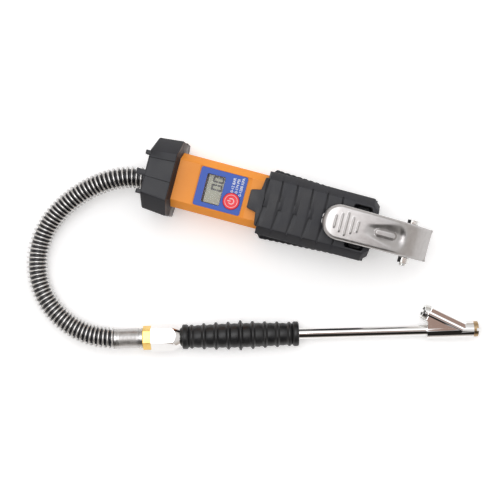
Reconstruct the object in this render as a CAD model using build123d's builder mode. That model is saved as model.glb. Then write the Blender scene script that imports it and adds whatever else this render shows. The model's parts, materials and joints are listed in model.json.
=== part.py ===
from build123d import *
import math
import os

os.makedirs("parts", exist_ok=True)

# Tyre inflator with a digital gauge, an outlet hose and a dual-foot chuck.
# Lengths are millimetres.  The handle lies on its back along X, its face up,
# its air inlet towards +X, and z = 0 is the bench that it lies on.  x = 0 is
# where the orange case comes out of the front bumper, y = 0 the handle's middle.

# ---------------------------------------------------------------- handle case
BUMPER_HALF = 30.4            # half width at the bumper's right rim
BUMPER_HALF_LEFT = 28.6       # half width at its left face
BUMPER_FLAT = 19.0            # half width of its flat front
BUMPER_X0 = -20.6
BUMPER_X1 = 5.3
BUMPER_RIM_X = 1.3            # right rim where it is cut back on the front
RIB_RISE = 0.8
TAB_DEPTH = 8.0
# each rib's middle, its width and how far its tab stands out at the left
RIBS = [(15.9, 6.0, 3.0), (-1.4, 4.8, 6.4), (-16.5, 3.6, 3.2)]
AXIS_Z = BUMPER_HALF          # the bumper's rim rests on the bench

CASE_HALF_W = 21.9
CASE_HALF_D = 20.0
CASE_CORNER = 5.7
CASE_WALL = 2.5
CASE_X0 = -8.0
CASE_X1 = 136.0
CASE_TOP = AXIS_Z + CASE_HALF_D
CASE_BASE = AXIS_Z - CASE_HALF_D
ROOF_Z = CASE_TOP - CASE_WALL
FLOOR_Z = CASE_BASE + CASE_WALL

SCREW_R = 1.5
SCREW_HEAD_R = 2.75
SCREW_HEAD_H = 2.0
SCREW_BOSS_R = 3.2
SCREW_PLACES = [(8, 13), (8, -13), (88, 13), (88, -13)]
SCREW_BITE = 10.0             # how far a case screw goes into the front shell
HOLE_GAP = 0.05
BOSS_BITE = 0.5               # how far a boss runs into its wall

# ------------------------------------------------------- battery compartment
CELL_R = 5.25
CELL_LENGTH = 44.5
CELL_X0 = 22.4
CELL_Y = 9.5
CELL_GAP = 0.4
CONTACT_T = 0.5
COVER_X0 = 18.0
COVER_X1 = 79.0
COVER_Y0 = 3.0
COVER_Y1 = 15.4
COVER_T = 2.0
COVER_GAP = 0.2
COVER_LEDGE = 2.5
COVER_SCREW_X = 75.0
COVER_SCREW_R = 1.25
COVER_SCREW_HEAD_R = 2.2
COVER_SCREW_HEAD_H = 1.2
COVER_SCREW_SLOT_HALF = 1.6
COVER_SCREW_LENGTH = 10.0
CELL_WALL = 1.2

# ------------------------------------------------------------ gauge and panel
LABEL_X0 = 21.2
LABEL_X1 = 59.1
LABEL_HALF = 15.6
LABEL_T = 0.5
PANEL_RECESS = 0.7
PANEL_X0 = 20.6
PANEL_X1 = 62.4
PANEL_GAP = 0.3
WINDOW_X0 = 27.0
WINDOW_X1 = 41.8
WINDOW_Y0 = -12.0
WINDOW_Y1 = 11.2
WINDOW_T = 1.5
WINDOW_LIP = 1.0
BOARD_X0 = 13.0
BOARD_X1 = 83.0
BOARD_HALF = 15.5
BOARD_TAIL_X1 = 112.0
BOARD_TAIL_HALF = 9.0
BOARD_Z = 41.0
BOARD_T = 1.6
STANDOFF_R = 2.25
STANDOFF_PLACES = [(17, 12.5), (17, -12.5), (79, 12.5), (79, -12.5)]
BOARD_SCREW_R = 1.0
BOARD_SCREW_HEAD_R = 1.9
BOARD_SCREW_HEAD_H = 1.4
BOARD_SCREW_BITE = 4.0
LCD_GAP = 0.2
BUTTON_X = 50.3
BUTTON_Y = -5.8
BUTTON_R = 6.5
BUTTON_GAP = 0.3
BUTTON_RISE = 1.0             # above the label
BUTTON_FLANGE_R = 7.2
BUTTON_FLANGE_T = 1.0
BUTTON_TRAVEL = 0.5
SWITCH_SIZE = 6.0
SWITCH_BODY_H = 3.4
SWITCH_KEY_R = 1.75
SWITCH_CLEAR = 0.2

# --------------------------------------------------------- valve and air path
AIR_Z = 24.0
HOSE_Y = -5.0
BLOCK_X0 = 96.0
BLOCK_HALF = 12.0
BLOCK_TOP = 36.0
HEAD_X1 = 162.0
HEAD_HALF = 18.0
HEAD_TOP = 38.0
NECK_R = 11.0
INLET_X = 208.0
INLET_R = 5.72                # minor radius of a G 1/4 thread
INLET_DEPTH = 11.0
GALLERY_R = 3.0
FILTER_R = 4.8
FILTER_T = 2.0
LUG_HALF = 10.4
LUG_R = 7.5
STEM_X = 153.0
STEM_Y = 6.0
STEM_R = 2.0
STEM_GAP = 0.06
STEM_TOP = 55.7
CHAMBER_R = 4.5
CHAMBER_Z0 = 17.0
SEAT_Z = 28.0
SEAT_R = 2.9
GLAND_Z = 32.0
GLAND_R = 4.2
GLAND_FLANGE_R = 5.2
GLAND_FLANGE_T = 2.0
GLAND_GAP = 0.3
SHOULDER_T = 2.0
SEAL_T = 1.5
GUIDE_Z = 22.0
SPRING_WIRE = 0.8
TUBE_R = 4.0
TUBE_BORE_R = 2.5
TUBE_SOCKET = 4.0
SENSOR_X = 104.0
SENSOR_R = 6.0
SENSOR_PORT_R = 3.0
SENSOR_PORT_LENGTH = 5.0
OUTLET_X1 = 4.0
OUTLET_HEX_R = 9.6
SPIGOT_R = 5.0
TAIL_HEX_R = 8.9
TAIL_HEX_T = 0.9

# ---------------------------------------------------------------------- boot
BOOT_X0 = 74.5
BOOT_X1 = 165.0
BOOT_FRONT = 55.0
BOOT_FRONT_HALF = 19.2
BOOT_HALF = 25.4
BOOT_CORNER = 6.0
WING_X0 = 79.5
WING_X1 = 152.0
WING_HALF = 28.9
WING_TOP = 24.0
TONGUE_X0 = 63.3
TONGUE_ROOT_X = 71.0
TONGUE_TIP_HALF = 7.4
TONGUE_ROOT_HALF = 9.2
FRONT_LIP_X = 72.4               # where the front's lip meets its side edges
END_TAPER = 5.0
WELL_X0 = 144.7
WELL_X1 = 160.0
WELL_FLOOR = 40.0
WELL_HALF = 17.6
WELL_SLOPE = 4.0
COLLAR_R = 13.4
COLLAR_X1 = 171.0
GROOVE_PITCH = 12.25
GROOVE_W = 1.1
GROOVE_DEPTH = 1.2
GROOVE_LENGTH = 15.0
GROOVE_COUNT = 5
GROOVE_X0 = 87.7
GROOVE_MIDDLE = 4.0

# --------------------------------------------------------------------- lever
PIVOT_X = 194.6
PIVOT_Z = 43.0
BOLT_R = 2.5
BOLT_HEX_R = 4.62             # 8 mm across the flats
BOLT_HEAD_H = 3.5
NUT_H = 5.0
BOLT_SPARE = 2.0
PIVOT_GAP = 0.05
LEVER_TIP_X = 122.6
LEVER_HALF = 13.9
LEVER_END_HALF = 13.0
LEVER_WALL = 2.2
LEVER_TOP = [
    (LEVER_TIP_X, 65.0), (126.5, 66.5), (136, 67.0), (166, 66.2),
    (184, 63.2), (197, 55.5), (206, 46.5), (211.9, 39.0),
]
LEVER_BASE = [
    (209.6, 37.8), (204, 40.0), (199, 35.8), (190, 35.8),
    (184, 42.0), (177, 57.0), (168, 59.2), (LEVER_TIP_X, 62.4),
]
PAD_HALF_X = 3.0
PAD_HALF_Y = 9.0
PAD_GAP = 0.3
THUMB_RIB_X = 141.5
THUMB_RIB_PITCH = 4.5
THUMB_RIB_W = 1.3
THUMB_RIB_TOP = 67.6
THUMB_RIB_LENGTHS = [10.8, 15.1, 19.0, 13.9, 9.0]
PILL_X = 172.6
PILL_LENGTH = 16.0
PILL_R = 2.7
PILL_TOP = 66.6

# ---------------------------------------------------------------------- hose
HOSE_R = 6.75
HOSE_BORE_R = 4.0
GUARD_R = 9.25                # outside of the spring guard
GUARD_T = 0.4                 # a thin sleeve with the mass of the coil
HOSE_X0 = -9.0
GUARD_X0 = -18.0
TAIL_FERRULE_R = 8.5

# ------------------------------------------------- lance, from the hose's end
LANCE_X = -15.0
LANCE_Y = -140.0
LANCE_TURN = 16.3             # degrees from X towards Y
RING_R = 12.5                 # the grip's largest ring, which lies on the bench
FERRULE_R = 8.35
FERRULE_LENGTH = 23.7
FERRULE_CUP = 9.0
INSERT_HEX_R = 10.1
INSERT_HEX_T = 6.9
INSERT_TURN = -10.0
COUPLING_HEX_R = 11.7
COUPLING_HEX_LENGTH = 17.6
COUPLING_CONE_LENGTH = 7.9
COUPLING_NOSE_R = 7.45
COUPLING_TURN = -14.0
SOCKET_R = 6.0
WASHER_T = 1.2
LANCE_TUBE_R = 4.65
LANCE_TUBE_BORE_R = 3.2
GRIP_LENGTH = 96.5
GRIP_END_R = 10.3
GRIP_NECK_R = 7.6
GRIP_BARREL_R = 8.8           # at its ends; the middle is GRIP_SWELL more
GRIP_SWELL = 1.3
GRIP_RING_PITCH = 10.1
GRIP_RING_HALF = 1.4
GRIP_RING_RISE = 1.0
GRIP_RINGS = 9

# --------------------------------------------------------------------- chuck
CHUCK_S0 = 258.6
CHUCK_S1 = 297.5
CHUCK_R = 7.4
BRANCH_R = 7.5
BRANCH_S = 288.0              # where the branch's axis meets the lance's
BRANCH_TURN = 27.2
BRANCH_LENGTH = 31.4
WEB_HALF = 5.6
MOUTH_BORE_R = 5.2
MOUTH_DEPTH = 11.0
POPPET_BORE_R = 4.2
POPPET_DEPTH = 7.0
COLLAR_OUT_R = 6.45
COLLAR_FLANGE_T = 4.0
COLLAR_NECK = 6.3
VALVE_BORE_R = 4.1            # clears the 7.7 mm thread of a tyre valve
NOTCH_W = 2.4
NOTCH_DEPTH = 1.6
SEAL_BORE_R = 3.3
POPPET_R = 3.8
POPPET_T = 1.8
PIN_R = 1.25
PIN_REACH = 3.6
POPPET_TRAVEL = 2.0
PIN_SPARE = 0.4               # left behind the pin at full travel
FIT_GAP = 0.05


def across(x, y=0.0, z=AXIS_Z):
    """Plane across the handle: its x is the model's Y and its y the model's Z."""
    return Plane(origin=(x, y, z), x_dir=(0, 1, 0), z_dir=(1, 0, 0))


def corner_cut_box(half_w, half_d, corner):
    """A rectangle with its four corners cut at 45 degrees."""
    points = []
    for sy, sz in ((1, 1), (-1, 1), (-1, -1), (1, -1)):
        a = (sy * half_w, sz * (half_d - corner))
        b = (sy * (half_w - corner), sz * half_d)
        points += [a, b] if sy * sz > 0 else [b, a]
    outline(points)


def outline(points):
    """A face with straight sides, in the sketch being made."""
    Polygon(*points, align=None)


def inset(points, distance):
    """Points moved off an open line to its lower side, square to the line."""
    moved = []
    for i, (x, z) in enumerate(points):
        before = points[max(i - 1, 0)]
        after = points[min(i + 1, len(points) - 1)]
        dx, dz = after[0] - before[0], after[1] - before[1]
        length = math.hypot(dx, dz)
        moved.append((x + distance * dz / length, z - distance * dx / length))
    return moved


def case_tube():
    """The whole case before it is split into its two shells."""
    with BuildSketch(across(CASE_X0)) as outside:
        corner_cut_box(CASE_HALF_W, CASE_HALF_D, CASE_CORNER)
    extrude(outside.sketch, amount=CASE_X1 - CASE_X0)
    with BuildSketch(across(CASE_X0 + CASE_WALL)) as inside:
        inner_corner = CASE_CORNER - CASE_WALL * (2 - math.sqrt(2))
        corner_cut_box(CASE_HALF_W - CASE_WALL, CASE_HALF_D - CASE_WALL, inner_corner)
    extrude(inside.sketch, amount=CASE_X1 - CASE_X0, mode=Mode.SUBTRACT)
    with BuildSketch(across(CASE_X0, HOSE_Y, AIR_Z)) as port:
        Circle(SPIGOT_R + HOLE_GAP)
    extrude(port.sketch, amount=CASE_WALL, mode=Mode.SUBTRACT)


def rods(places, radius, z0, z1, mode=Mode.ADD):
    """Upright round bars, one at each place."""
    with BuildSketch(Plane.XY.offset(z0)) as discs:
        with Locations(*places):
            Circle(radius)
    extrude(discs.sketch, amount=z1 - z0, mode=mode)


def slab(x0, x1, y0, y1, z0, z1, mode=Mode.ADD):
    """A box between two corners."""
    with BuildSketch(Plane.XY.offset(z0)) as plan:
        with Locations(((x0 + x1) / 2, (y0 + y1) / 2)):
            Rectangle(x1 - x0, y1 - y0)
    extrude(plan.sketch, amount=z1 - z0, mode=mode)


def bar(plane, radius, start, end, mode=Mode.ADD):
    """A round bar or bore along a plane's own x direction, which is its axis."""
    start_point = plane.origin + plane.x_dir * start
    section = Plane(origin=start_point, x_dir=plane.y_dir, z_dir=plane.x_dir)
    with BuildSketch(section) as disc:
        Circle(radius)
    extrude(disc.sketch, amount=end - start, mode=mode)


def hex_bar(plane, radius, start, end, turn=0.0):
    """A hexagonal bar along a plane's own x direction, turned about it."""
    start_point = plane.origin + plane.x_dir * start
    section = Plane(origin=start_point, x_dir=plane.y_dir, z_dir=plane.x_dir)
    with BuildSketch(section) as hexagon:
        RegularPolygon(radius, 6, rotation=turn)
    extrude(hexagon.sketch, amount=end - start)


AIR = Plane(origin=(0, 0, AIR_Z), x_dir=(1, 0, 0), z_dir=(0, 0, 1))
OUTLET = Plane(origin=(0, HOSE_Y, AIR_Z), x_dir=(1, 0, 0), z_dir=(0, 0, 1))
PIVOT = Plane(origin=(PIVOT_X, 0, PIVOT_Z), x_dir=(0, 1, 0), z_dir=(0, 0, 1))

# The lance lies on its grip's middle ring and on the chuck, so it leans down.
coupling_s2 = FERRULE_LENGTH + INSERT_HEX_T + COUPLING_HEX_LENGTH + COUPLING_CONE_LENGTH
ring_s = coupling_s2 + GRIP_LENGTH / 2
ring_edge = ring_s + GRIP_RING_HALF / 2
turn_rad = math.radians(LANCE_TURN)
drop_rad = math.atan((RING_R - CHUCK_R) / (CHUCK_S1 - ring_edge))
lance_dir = Vector(
    math.cos(turn_rad) * math.cos(drop_rad),
    math.sin(turn_rad) * math.cos(drop_rad),
    -math.sin(drop_rad),
)
lance_up = Vector(
    math.cos(turn_rad) * math.sin(drop_rad),
    math.sin(turn_rad) * math.sin(drop_rad),
    math.cos(drop_rad),
)
lance_z = RING_R * math.cos(drop_rad) + ring_edge * math.sin(drop_rad)
LANCE = Plane(origin=(LANCE_X, LANCE_Y, lance_z), x_dir=lance_dir, z_dir=lance_up)
LANCE_AXIS = Axis(LANCE.origin, LANCE.x_dir)

pieces = {}

# ================================================================ front bumper
with BuildPart() as front_bumper:
    with BuildSketch(across(BUMPER_X0)):
        corner_cut_box(BUMPER_HALF_LEFT, BUMPER_HALF_LEFT, BUMPER_HALF_LEFT - BUMPER_FLAT)
    with BuildSketch(across(BUMPER_X1)):
        corner_cut_box(BUMPER_HALF, BUMPER_HALF, BUMPER_HALF - BUMPER_FLAT)
    loft()
    rim_cut = BUMPER_X1 - BUMPER_RIM_X
    with BuildSketch(Plane.XZ):
        outline([
            (BUMPER_X1 + 1, AXIS_Z + BUMPER_FLAT - 2 * rim_cut),
            (BUMPER_X1, AXIS_Z + BUMPER_FLAT - 2 * rim_cut),
            (BUMPER_RIM_X, AXIS_Z + BUMPER_FLAT + rim_cut),
            (BUMPER_RIM_X, AXIS_Z + BUMPER_HALF + 1),
            (BUMPER_X1 + 1, AXIS_Z + BUMPER_HALF + 1),
        ])
    extrude(amount=BUMPER_HALF + 1, both=True, mode=Mode.SUBTRACT)
    flare = (BUMPER_HALF - BUMPER_HALF_LEFT) / (BUMPER_X1 - BUMPER_X0)
    left_top = AXIS_Z + BUMPER_HALF_LEFT
    right_top = left_top + flare * (BUMPER_RIM_X - BUMPER_X0)
    for rib_y, rib_w, tab in RIBS:
        with BuildSketch(Plane.XZ.offset(-rib_y)):
            outline([
                (BUMPER_X0 - tab, left_top + RIB_RISE),
                (BUMPER_RIM_X, right_top + RIB_RISE),
                (BUMPER_RIM_X, right_top - 1),
                (BUMPER_X0 + 1, left_top - 1),
                (BUMPER_X0 + 1, left_top - TAB_DEPTH),
                (BUMPER_X0 - tab, left_top - TAB_DEPTH),
            ])
        extrude(amount=rib_w / 2, both=True)
    with BuildSketch(across(CASE_X0)):
        corner_cut_box(CASE_HALF_W, CASE_HALF_D, CASE_CORNER)
    extrude(amount=BUMPER_X1 - CASE_X0, mode=Mode.SUBTRACT)
    bar(OUTLET, GUARD_R + 2.5, BUMPER_X0, CASE_X0, Mode.SUBTRACT)
pieces["front_bumper"] = front_bumper

# ================================================================ case shells
boss_end = ROOF_Z + BOSS_BITE
with BuildPart() as front_shell:
    case_tube()
    split(bisect_by=Plane.XY.offset(AXIS_Z), keep=Keep.TOP)
    rods(SCREW_PLACES, SCREW_BOSS_R, AXIS_Z, boss_end)
    rods(SCREW_PLACES, SCREW_R + HOLE_GAP, AXIS_Z, AXIS_Z + SCREW_BITE, Mode.SUBTRACT)
    rods(STANDOFF_PLACES, STANDOFF_R, BOARD_Z + BOARD_T, boss_end)
    rods(STANDOFF_PLACES, BOARD_SCREW_R + HOLE_GAP, BOARD_Z + BOARD_T, ROOF_Z, Mode.SUBTRACT)
    slab(
        PANEL_X0, PANEL_X1, -LABEL_HALF - PANEL_GAP, LABEL_HALF + PANEL_GAP,
        CASE_TOP - PANEL_RECESS, CASE_TOP, Mode.SUBTRACT,
    )
    slab(WINDOW_X0, WINDOW_X1, WINDOW_Y0, WINDOW_Y1, ROOF_Z, CASE_TOP, Mode.SUBTRACT)
    rods([(BUTTON_X, BUTTON_Y)], BUTTON_R + BUTTON_GAP, ROOF_Z, CASE_TOP, Mode.SUBTRACT)
pieces["front_shell"] = front_shell

cover_opening = (COVER_X0 + COVER_LEDGE, 70.0, COVER_Y0 + 1.0, COVER_Y1 - 0.4)
cover_screw_place = [(COVER_SCREW_X, CELL_Y)]
cover_screw_top = CASE_BASE + COVER_SCREW_LENGTH
cover_screw_seat = CASE_BASE + COVER_SCREW_HEAD_H
with BuildPart() as rear_shell:
    case_tube()
    split(bisect_by=Plane.XY.offset(AXIS_Z), keep=Keep.BOTTOM)
    rods(SCREW_PLACES, SCREW_BOSS_R, FLOOR_Z - BOSS_BITE, AXIS_Z)
    rods(SCREW_PLACES, SCREW_R + HOLE_GAP, CASE_BASE, AXIS_Z, Mode.SUBTRACT)
    rods(SCREW_PLACES, SCREW_HEAD_R + HOLE_GAP, CASE_BASE, CASE_BASE + SCREW_HEAD_H, Mode.SUBTRACT)
    slab(
        cover_opening[0] - 1, cover_opening[1] + 1, COVER_Y0 - CELL_WALL, COVER_Y0,
        FLOOR_Z - BOSS_BITE, AXIS_Z,
    )
    rods(cover_screw_place, SCREW_BOSS_R, FLOOR_Z - BOSS_BITE, cover_screw_top + 2)
    slab(COVER_X0, COVER_X1, COVER_Y0, COVER_Y1, CASE_BASE, CASE_BASE + COVER_T, Mode.SUBTRACT)
    slab(*cover_opening, CASE_BASE, FLOOR_Z, Mode.SUBTRACT)
    rods(cover_screw_place, COVER_SCREW_R + HOLE_GAP, CASE_BASE, cover_screw_top, Mode.SUBTRACT)
pieces["rear_shell"] = rear_shell

with BuildPart() as case_screws:
    rods(SCREW_PLACES, SCREW_R, CASE_BASE + SCREW_HEAD_H, AXIS_Z + SCREW_BITE)
    rods(SCREW_PLACES, SCREW_HEAD_R, CASE_BASE, CASE_BASE + SCREW_HEAD_H)
    with BuildSketch(Plane.XY.offset(CASE_BASE)):
        with Locations(*SCREW_PLACES):
            Rectangle(3.2, 0.8)
            Rectangle(0.8, 3.2)
    extrude(amount=1.0, mode=Mode.SUBTRACT)
pieces["case_screws"] = case_screws

with BuildPart() as battery_cover:
    slab(
        COVER_X0 + COVER_GAP, COVER_X1 - COVER_GAP, COVER_Y0 + COVER_GAP, COVER_Y1 - COVER_GAP,
        CASE_BASE, CASE_BASE + COVER_T,
    )
    rods(cover_screw_place, COVER_SCREW_R + HOLE_GAP, CASE_BASE, CASE_BASE + COVER_T, Mode.SUBTRACT)
    rods(cover_screw_place, COVER_SCREW_HEAD_R + HOLE_GAP, CASE_BASE, cover_screw_seat, Mode.SUBTRACT)
    for groove in range(5):
        groove_x = COVER_X0 + 4 + 2 * groove
        slab(
            groove_x, groove_x + 0.8, COVER_Y0 + 2, COVER_Y1 - 2,
            CASE_BASE, CASE_BASE + 0.5, Mode.SUBTRACT,
        )
pieces["battery_cover"] = battery_cover

with BuildPart() as battery_cover_screw:
    rods(cover_screw_place, COVER_SCREW_R, cover_screw_seat, cover_screw_top)
    rods(cover_screw_place, COVER_SCREW_HEAD_R, CASE_BASE, cover_screw_seat)
    slab(
        COVER_SCREW_X - COVER_SCREW_SLOT_HALF, COVER_SCREW_X + COVER_SCREW_SLOT_HALF,
        CELL_Y - 0.4, CELL_Y + 0.4, CASE_BASE, CASE_BASE + 0.8, Mode.SUBTRACT,
    )
pieces["battery_cover_screw"] = battery_cover_screw

cell_z = [FLOOR_Z + CELL_GAP + CELL_R, FLOOR_Z + 2 * CELL_GAP + 3 * CELL_R]
with BuildPart() as batteries:
    for z in cell_z:
        cell = Plane(origin=(CELL_X0, CELL_Y, z), x_dir=(1, 0, 0), z_dir=(0, 0, 1))
        bar(cell, CELL_R, 0, CELL_LENGTH - 1)
        bar(cell, 1.9, CELL_LENGTH - 1, CELL_LENGTH)
pieces["batteries"] = batteries

with BuildPart() as battery_contacts:
    for x in (CELL_X0 - CONTACT_T, CELL_X0 + CELL_LENGTH):
        slab(x, x + CONTACT_T, CELL_Y - 4.5, CELL_Y + 4.5, FLOOR_Z + 0.5, cell_z[1] + 4)
pieces["battery_contacts"] = battery_contacts

# ============================================================ board and panel
with BuildPart() as circuit_board:
    slab(BOARD_X0, BOARD_X1, -BOARD_HALF, BOARD_HALF, BOARD_Z, BOARD_Z + BOARD_T)
    slab(BOARD_X1, BOARD_TAIL_X1, -BOARD_TAIL_HALF, BOARD_TAIL_HALF, BOARD_Z, BOARD_Z + BOARD_T)
    rods(STANDOFF_PLACES, BOARD_SCREW_R + HOLE_GAP, BOARD_Z, BOARD_Z + BOARD_T, Mode.SUBTRACT)
    slab(62, 70, 3, 11, BOARD_Z + BOARD_T, BOARD_Z + BOARD_T + 1.6)
pieces["circuit_board"] = circuit_board

with BuildPart() as board_screws:
    rods(STANDOFF_PLACES, BOARD_SCREW_R, BOARD_Z, BOARD_Z + BOARD_T + BOARD_SCREW_BITE)
    rods(STANDOFF_PLACES, BOARD_SCREW_HEAD_R, BOARD_Z - BOARD_SCREW_HEAD_H, BOARD_Z)
pieces["board_screws"] = board_screws

window_bottom = ROOF_Z - WINDOW_T
with BuildPart() as lcd_window:
    slab(
        WINDOW_X0 - WINDOW_LIP, WINDOW_X1 + WINDOW_LIP, WINDOW_Y0 - WINDOW_LIP, WINDOW_Y1 + WINDOW_LIP,
        window_bottom, ROOF_Z,
    )
pieces["lcd_window"] = lcd_window

with BuildPart() as lcd_module:
    slab(
        WINDOW_X0 - 1, WINDOW_X1 + 1, WINDOW_Y0 - 1, WINDOW_Y1 + 1,
        BOARD_Z + BOARD_T, window_bottom - LCD_GAP,
    )
pieces["lcd_module"] = lcd_module

label_z = CASE_TOP - PANEL_RECESS
with BuildPart() as label_panel:
    slab(LABEL_X0, LABEL_X1, -LABEL_HALF, LABEL_HALF, label_z, label_z + LABEL_T)
    slab(WINDOW_X0, WINDOW_X1, WINDOW_Y0, WINDOW_Y1, label_z, label_z + LABEL_T, Mode.SUBTRACT)
    rods([(BUTTON_X, BUTTON_Y)], BUTTON_R + BUTTON_GAP, label_z, label_z + LABEL_T, Mode.SUBTRACT)
pieces["label_panel"] = label_panel

button_top = label_z + LABEL_T + BUTTON_RISE
flange_z = ROOF_Z - BUTTON_FLANGE_T
with BuildPart() as mode_button:
    rods([(BUTTON_X, BUTTON_Y)], BUTTON_R, flange_z, button_top)
    fillet(mode_button.faces().sort_by(Axis.Z)[-1].edges(), 0.5)
    rods([(BUTTON_X, BUTTON_Y)], BUTTON_FLANGE_R, flange_z, ROOF_Z)
pieces["mode_button"] = mode_button

switch_z = BOARD_Z + BOARD_T
with BuildPart() as tact_switch:
    half = SWITCH_SIZE / 2
    slab(
        BUTTON_X - half, BUTTON_X + half, BUTTON_Y - half, BUTTON_Y + half,
        switch_z, switch_z + SWITCH_BODY_H,
    )
    rods(
        [(BUTTON_X, BUTTON_Y)], SWITCH_KEY_R,
        switch_z + SWITCH_BODY_H, flange_z - BUTTON_TRAVEL - SWITCH_CLEAR,
    )
pieces["tact_switch"] = tact_switch

# ================================================================= valve body
stem_places = [(STEM_X, STEM_Y), (STEM_X, -STEM_Y)]
filter_x0 = INLET_X - INLET_DEPTH - FILTER_T
with BuildPart() as valve_body:
    slab(BLOCK_X0, CASE_X1, -BLOCK_HALF, BLOCK_HALF, FLOOR_Z, BLOCK_TOP)
    slab(CASE_X1, HEAD_X1, -HEAD_HALF, HEAD_HALF, FLOOR_Z, HEAD_TOP)
    bar(AIR, NECK_R, HEAD_X1, INLET_X)
    with BuildSketch(Plane.XZ):
        with Locations((PIVOT_X, PIVOT_Z)):
            Circle(LUG_R)
        with Locations((PIVOT_X, (PIVOT_Z + AIR_Z) / 2)):
            Rectangle(2 * LUG_R, PIVOT_Z - AIR_Z)
    extrude(amount=LUG_HALF, both=True)
    bar(PIVOT, BOLT_R + HOLE_GAP, -LUG_HALF, LUG_HALF, Mode.SUBTRACT)
    bar(AIR, INLET_R, INLET_X - INLET_DEPTH, INLET_X, Mode.SUBTRACT)
    bar(AIR, FILTER_R + HOLE_GAP, filter_x0, filter_x0 + FILTER_T, Mode.SUBTRACT)
    bar(AIR, GALLERY_R, STEM_X, filter_x0, Mode.SUBTRACT)
    slab(STEM_X - 2, STEM_X + 2, -STEM_Y, STEM_Y, AIR_Z - 2, AIR_Z + 2, Mode.SUBTRACT)
    bar(OUTLET, TUBE_BORE_R, BLOCK_X0, STEM_X, Mode.SUBTRACT)
    bar(OUTLET, TUBE_R + HOLE_GAP, BLOCK_X0, BLOCK_X0 + TUBE_SOCKET, Mode.SUBTRACT)
    rods(stem_places, CHAMBER_R, FLOOR_Z, SEAT_Z, Mode.SUBTRACT)
    rods(stem_places, SEAT_R, SEAT_Z, GLAND_Z, Mode.SUBTRACT)
    rods(stem_places, GLAND_R, GLAND_Z, HEAD_TOP, Mode.SUBTRACT)
    rods([(SENSOR_X, 0)], SENSOR_PORT_R + HOLE_GAP, AIR_Z - 1, BLOCK_TOP, Mode.SUBTRACT)
    slab(SENSOR_X - 1.5, SENSOR_X + 1.5, HOSE_Y, 0, AIR_Z - 1.5, AIR_Z + 1.5, Mode.SUBTRACT)
    rods([(SENSOR_X, 0)], SENSOR_R - 1, BLOCK_TOP - 1.8, BLOCK_TOP, Mode.SUBTRACT)
pieces["valve_body"] = valve_body

with BuildPart() as chamber_plugs:
    rods(stem_places, CHAMBER_R - HOLE_GAP, FLOOR_Z, CHAMBER_Z0)
    with BuildSketch(Plane.XY.offset(FLOOR_Z)):
        with Locations(*stem_places):
            RegularPolygon(2.9, 6)
    extrude(amount=2.0, mode=Mode.SUBTRACT)
pieces["chamber_plugs"] = chamber_plugs

with BuildPart() as stem_glands:
    rods(stem_places, GLAND_R - HOLE_GAP, GLAND_Z, HEAD_TOP)
    with BuildSketch(Plane.XY.offset(HEAD_TOP)):
        with Locations(*stem_places):
            RegularPolygon(GLAND_FLANGE_R, 6)
    extrude(amount=GLAND_FLANGE_T)
    rods(stem_places, STEM_R + STEM_GAP, GLAND_Z, HEAD_TOP + GLAND_FLANGE_T, Mode.SUBTRACT)
pieces["stem_glands"] = stem_glands

shoulder_top = SEAT_Z - SEAL_T - 0.1
shoulder_base = shoulder_top - SHOULDER_T
for name, place in (("inflate", stem_places[0]), ("deflate", stem_places[1])):
    with BuildPart() as stem:
        rods([place], STEM_R - 0.5, GUIDE_Z, shoulder_base)
        rods([place], CHAMBER_R - 0.4, shoulder_base, shoulder_top)
        rods([place], STEM_R, shoulder_top, STEM_TOP)
        chamfer(stem.faces().sort_by(Axis.Z)[-1].edges(), 0.5)
    pieces[f"{name}_stem"] = stem
    with BuildPart() as stem_seal:
        rods([place], CHAMBER_R - 0.5, shoulder_top, SEAT_Z - 0.1)
        rods([place], STEM_R, shoulder_top, SEAT_Z - 0.1, Mode.SUBTRACT)
    pieces[f"{name}_seal"] = stem_seal
    with BuildPart() as stem_spring:
        rods([place], CHAMBER_R - 0.5, CHAMBER_Z0, shoulder_base)
        rods([place], CHAMBER_R - 0.5 - SPRING_WIRE, CHAMBER_Z0, shoulder_base, Mode.SUBTRACT)
    pieces[f"{name}_spring"] = stem_spring

with BuildPart() as inlet_filter:
    bar(AIR, FILTER_R, filter_x0, filter_x0 + FILTER_T)
    bar(AIR, GALLERY_R - 1, filter_x0, filter_x0 + FILTER_T, Mode.SUBTRACT)
pieces["inlet_filter"] = inlet_filter

with BuildPart() as pressure_sensor:
    rods([(SENSOR_X, 0)], SENSOR_R, BLOCK_TOP, BOARD_Z)
    rods([(SENSOR_X, 0)], SENSOR_PORT_R, BLOCK_TOP - SENSOR_PORT_LENGTH, BLOCK_TOP)
    rods([(SENSOR_X, 0)], 1.0, BLOCK_TOP - SENSOR_PORT_LENGTH, BOARD_Z - 2, Mode.SUBTRACT)
pieces["pressure_sensor"] = pressure_sensor

with BuildPart() as sensor_seal:
    rods([(SENSOR_X, 0)], SENSOR_R - 1.05, BLOCK_TOP - 1.8, BLOCK_TOP)
    rods([(SENSOR_X, 0)], SENSOR_PORT_R + HOLE_GAP, BLOCK_TOP - 1.8, BLOCK_TOP, Mode.SUBTRACT)
pieces["sensor_seal"] = sensor_seal

# ============================================================== outlet fittings
case_inside_x = CASE_X0 + CASE_WALL
with BuildPart() as air_tube:
    bar(OUTLET, TUBE_R, OUTLET_X1 - TUBE_SOCKET, BLOCK_X0 + TUBE_SOCKET)
    bar(OUTLET, TUBE_BORE_R, OUTLET_X1 - TUBE_SOCKET, BLOCK_X0 + TUBE_SOCKET, Mode.SUBTRACT)
pieces["air_tube"] = air_tube

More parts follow.
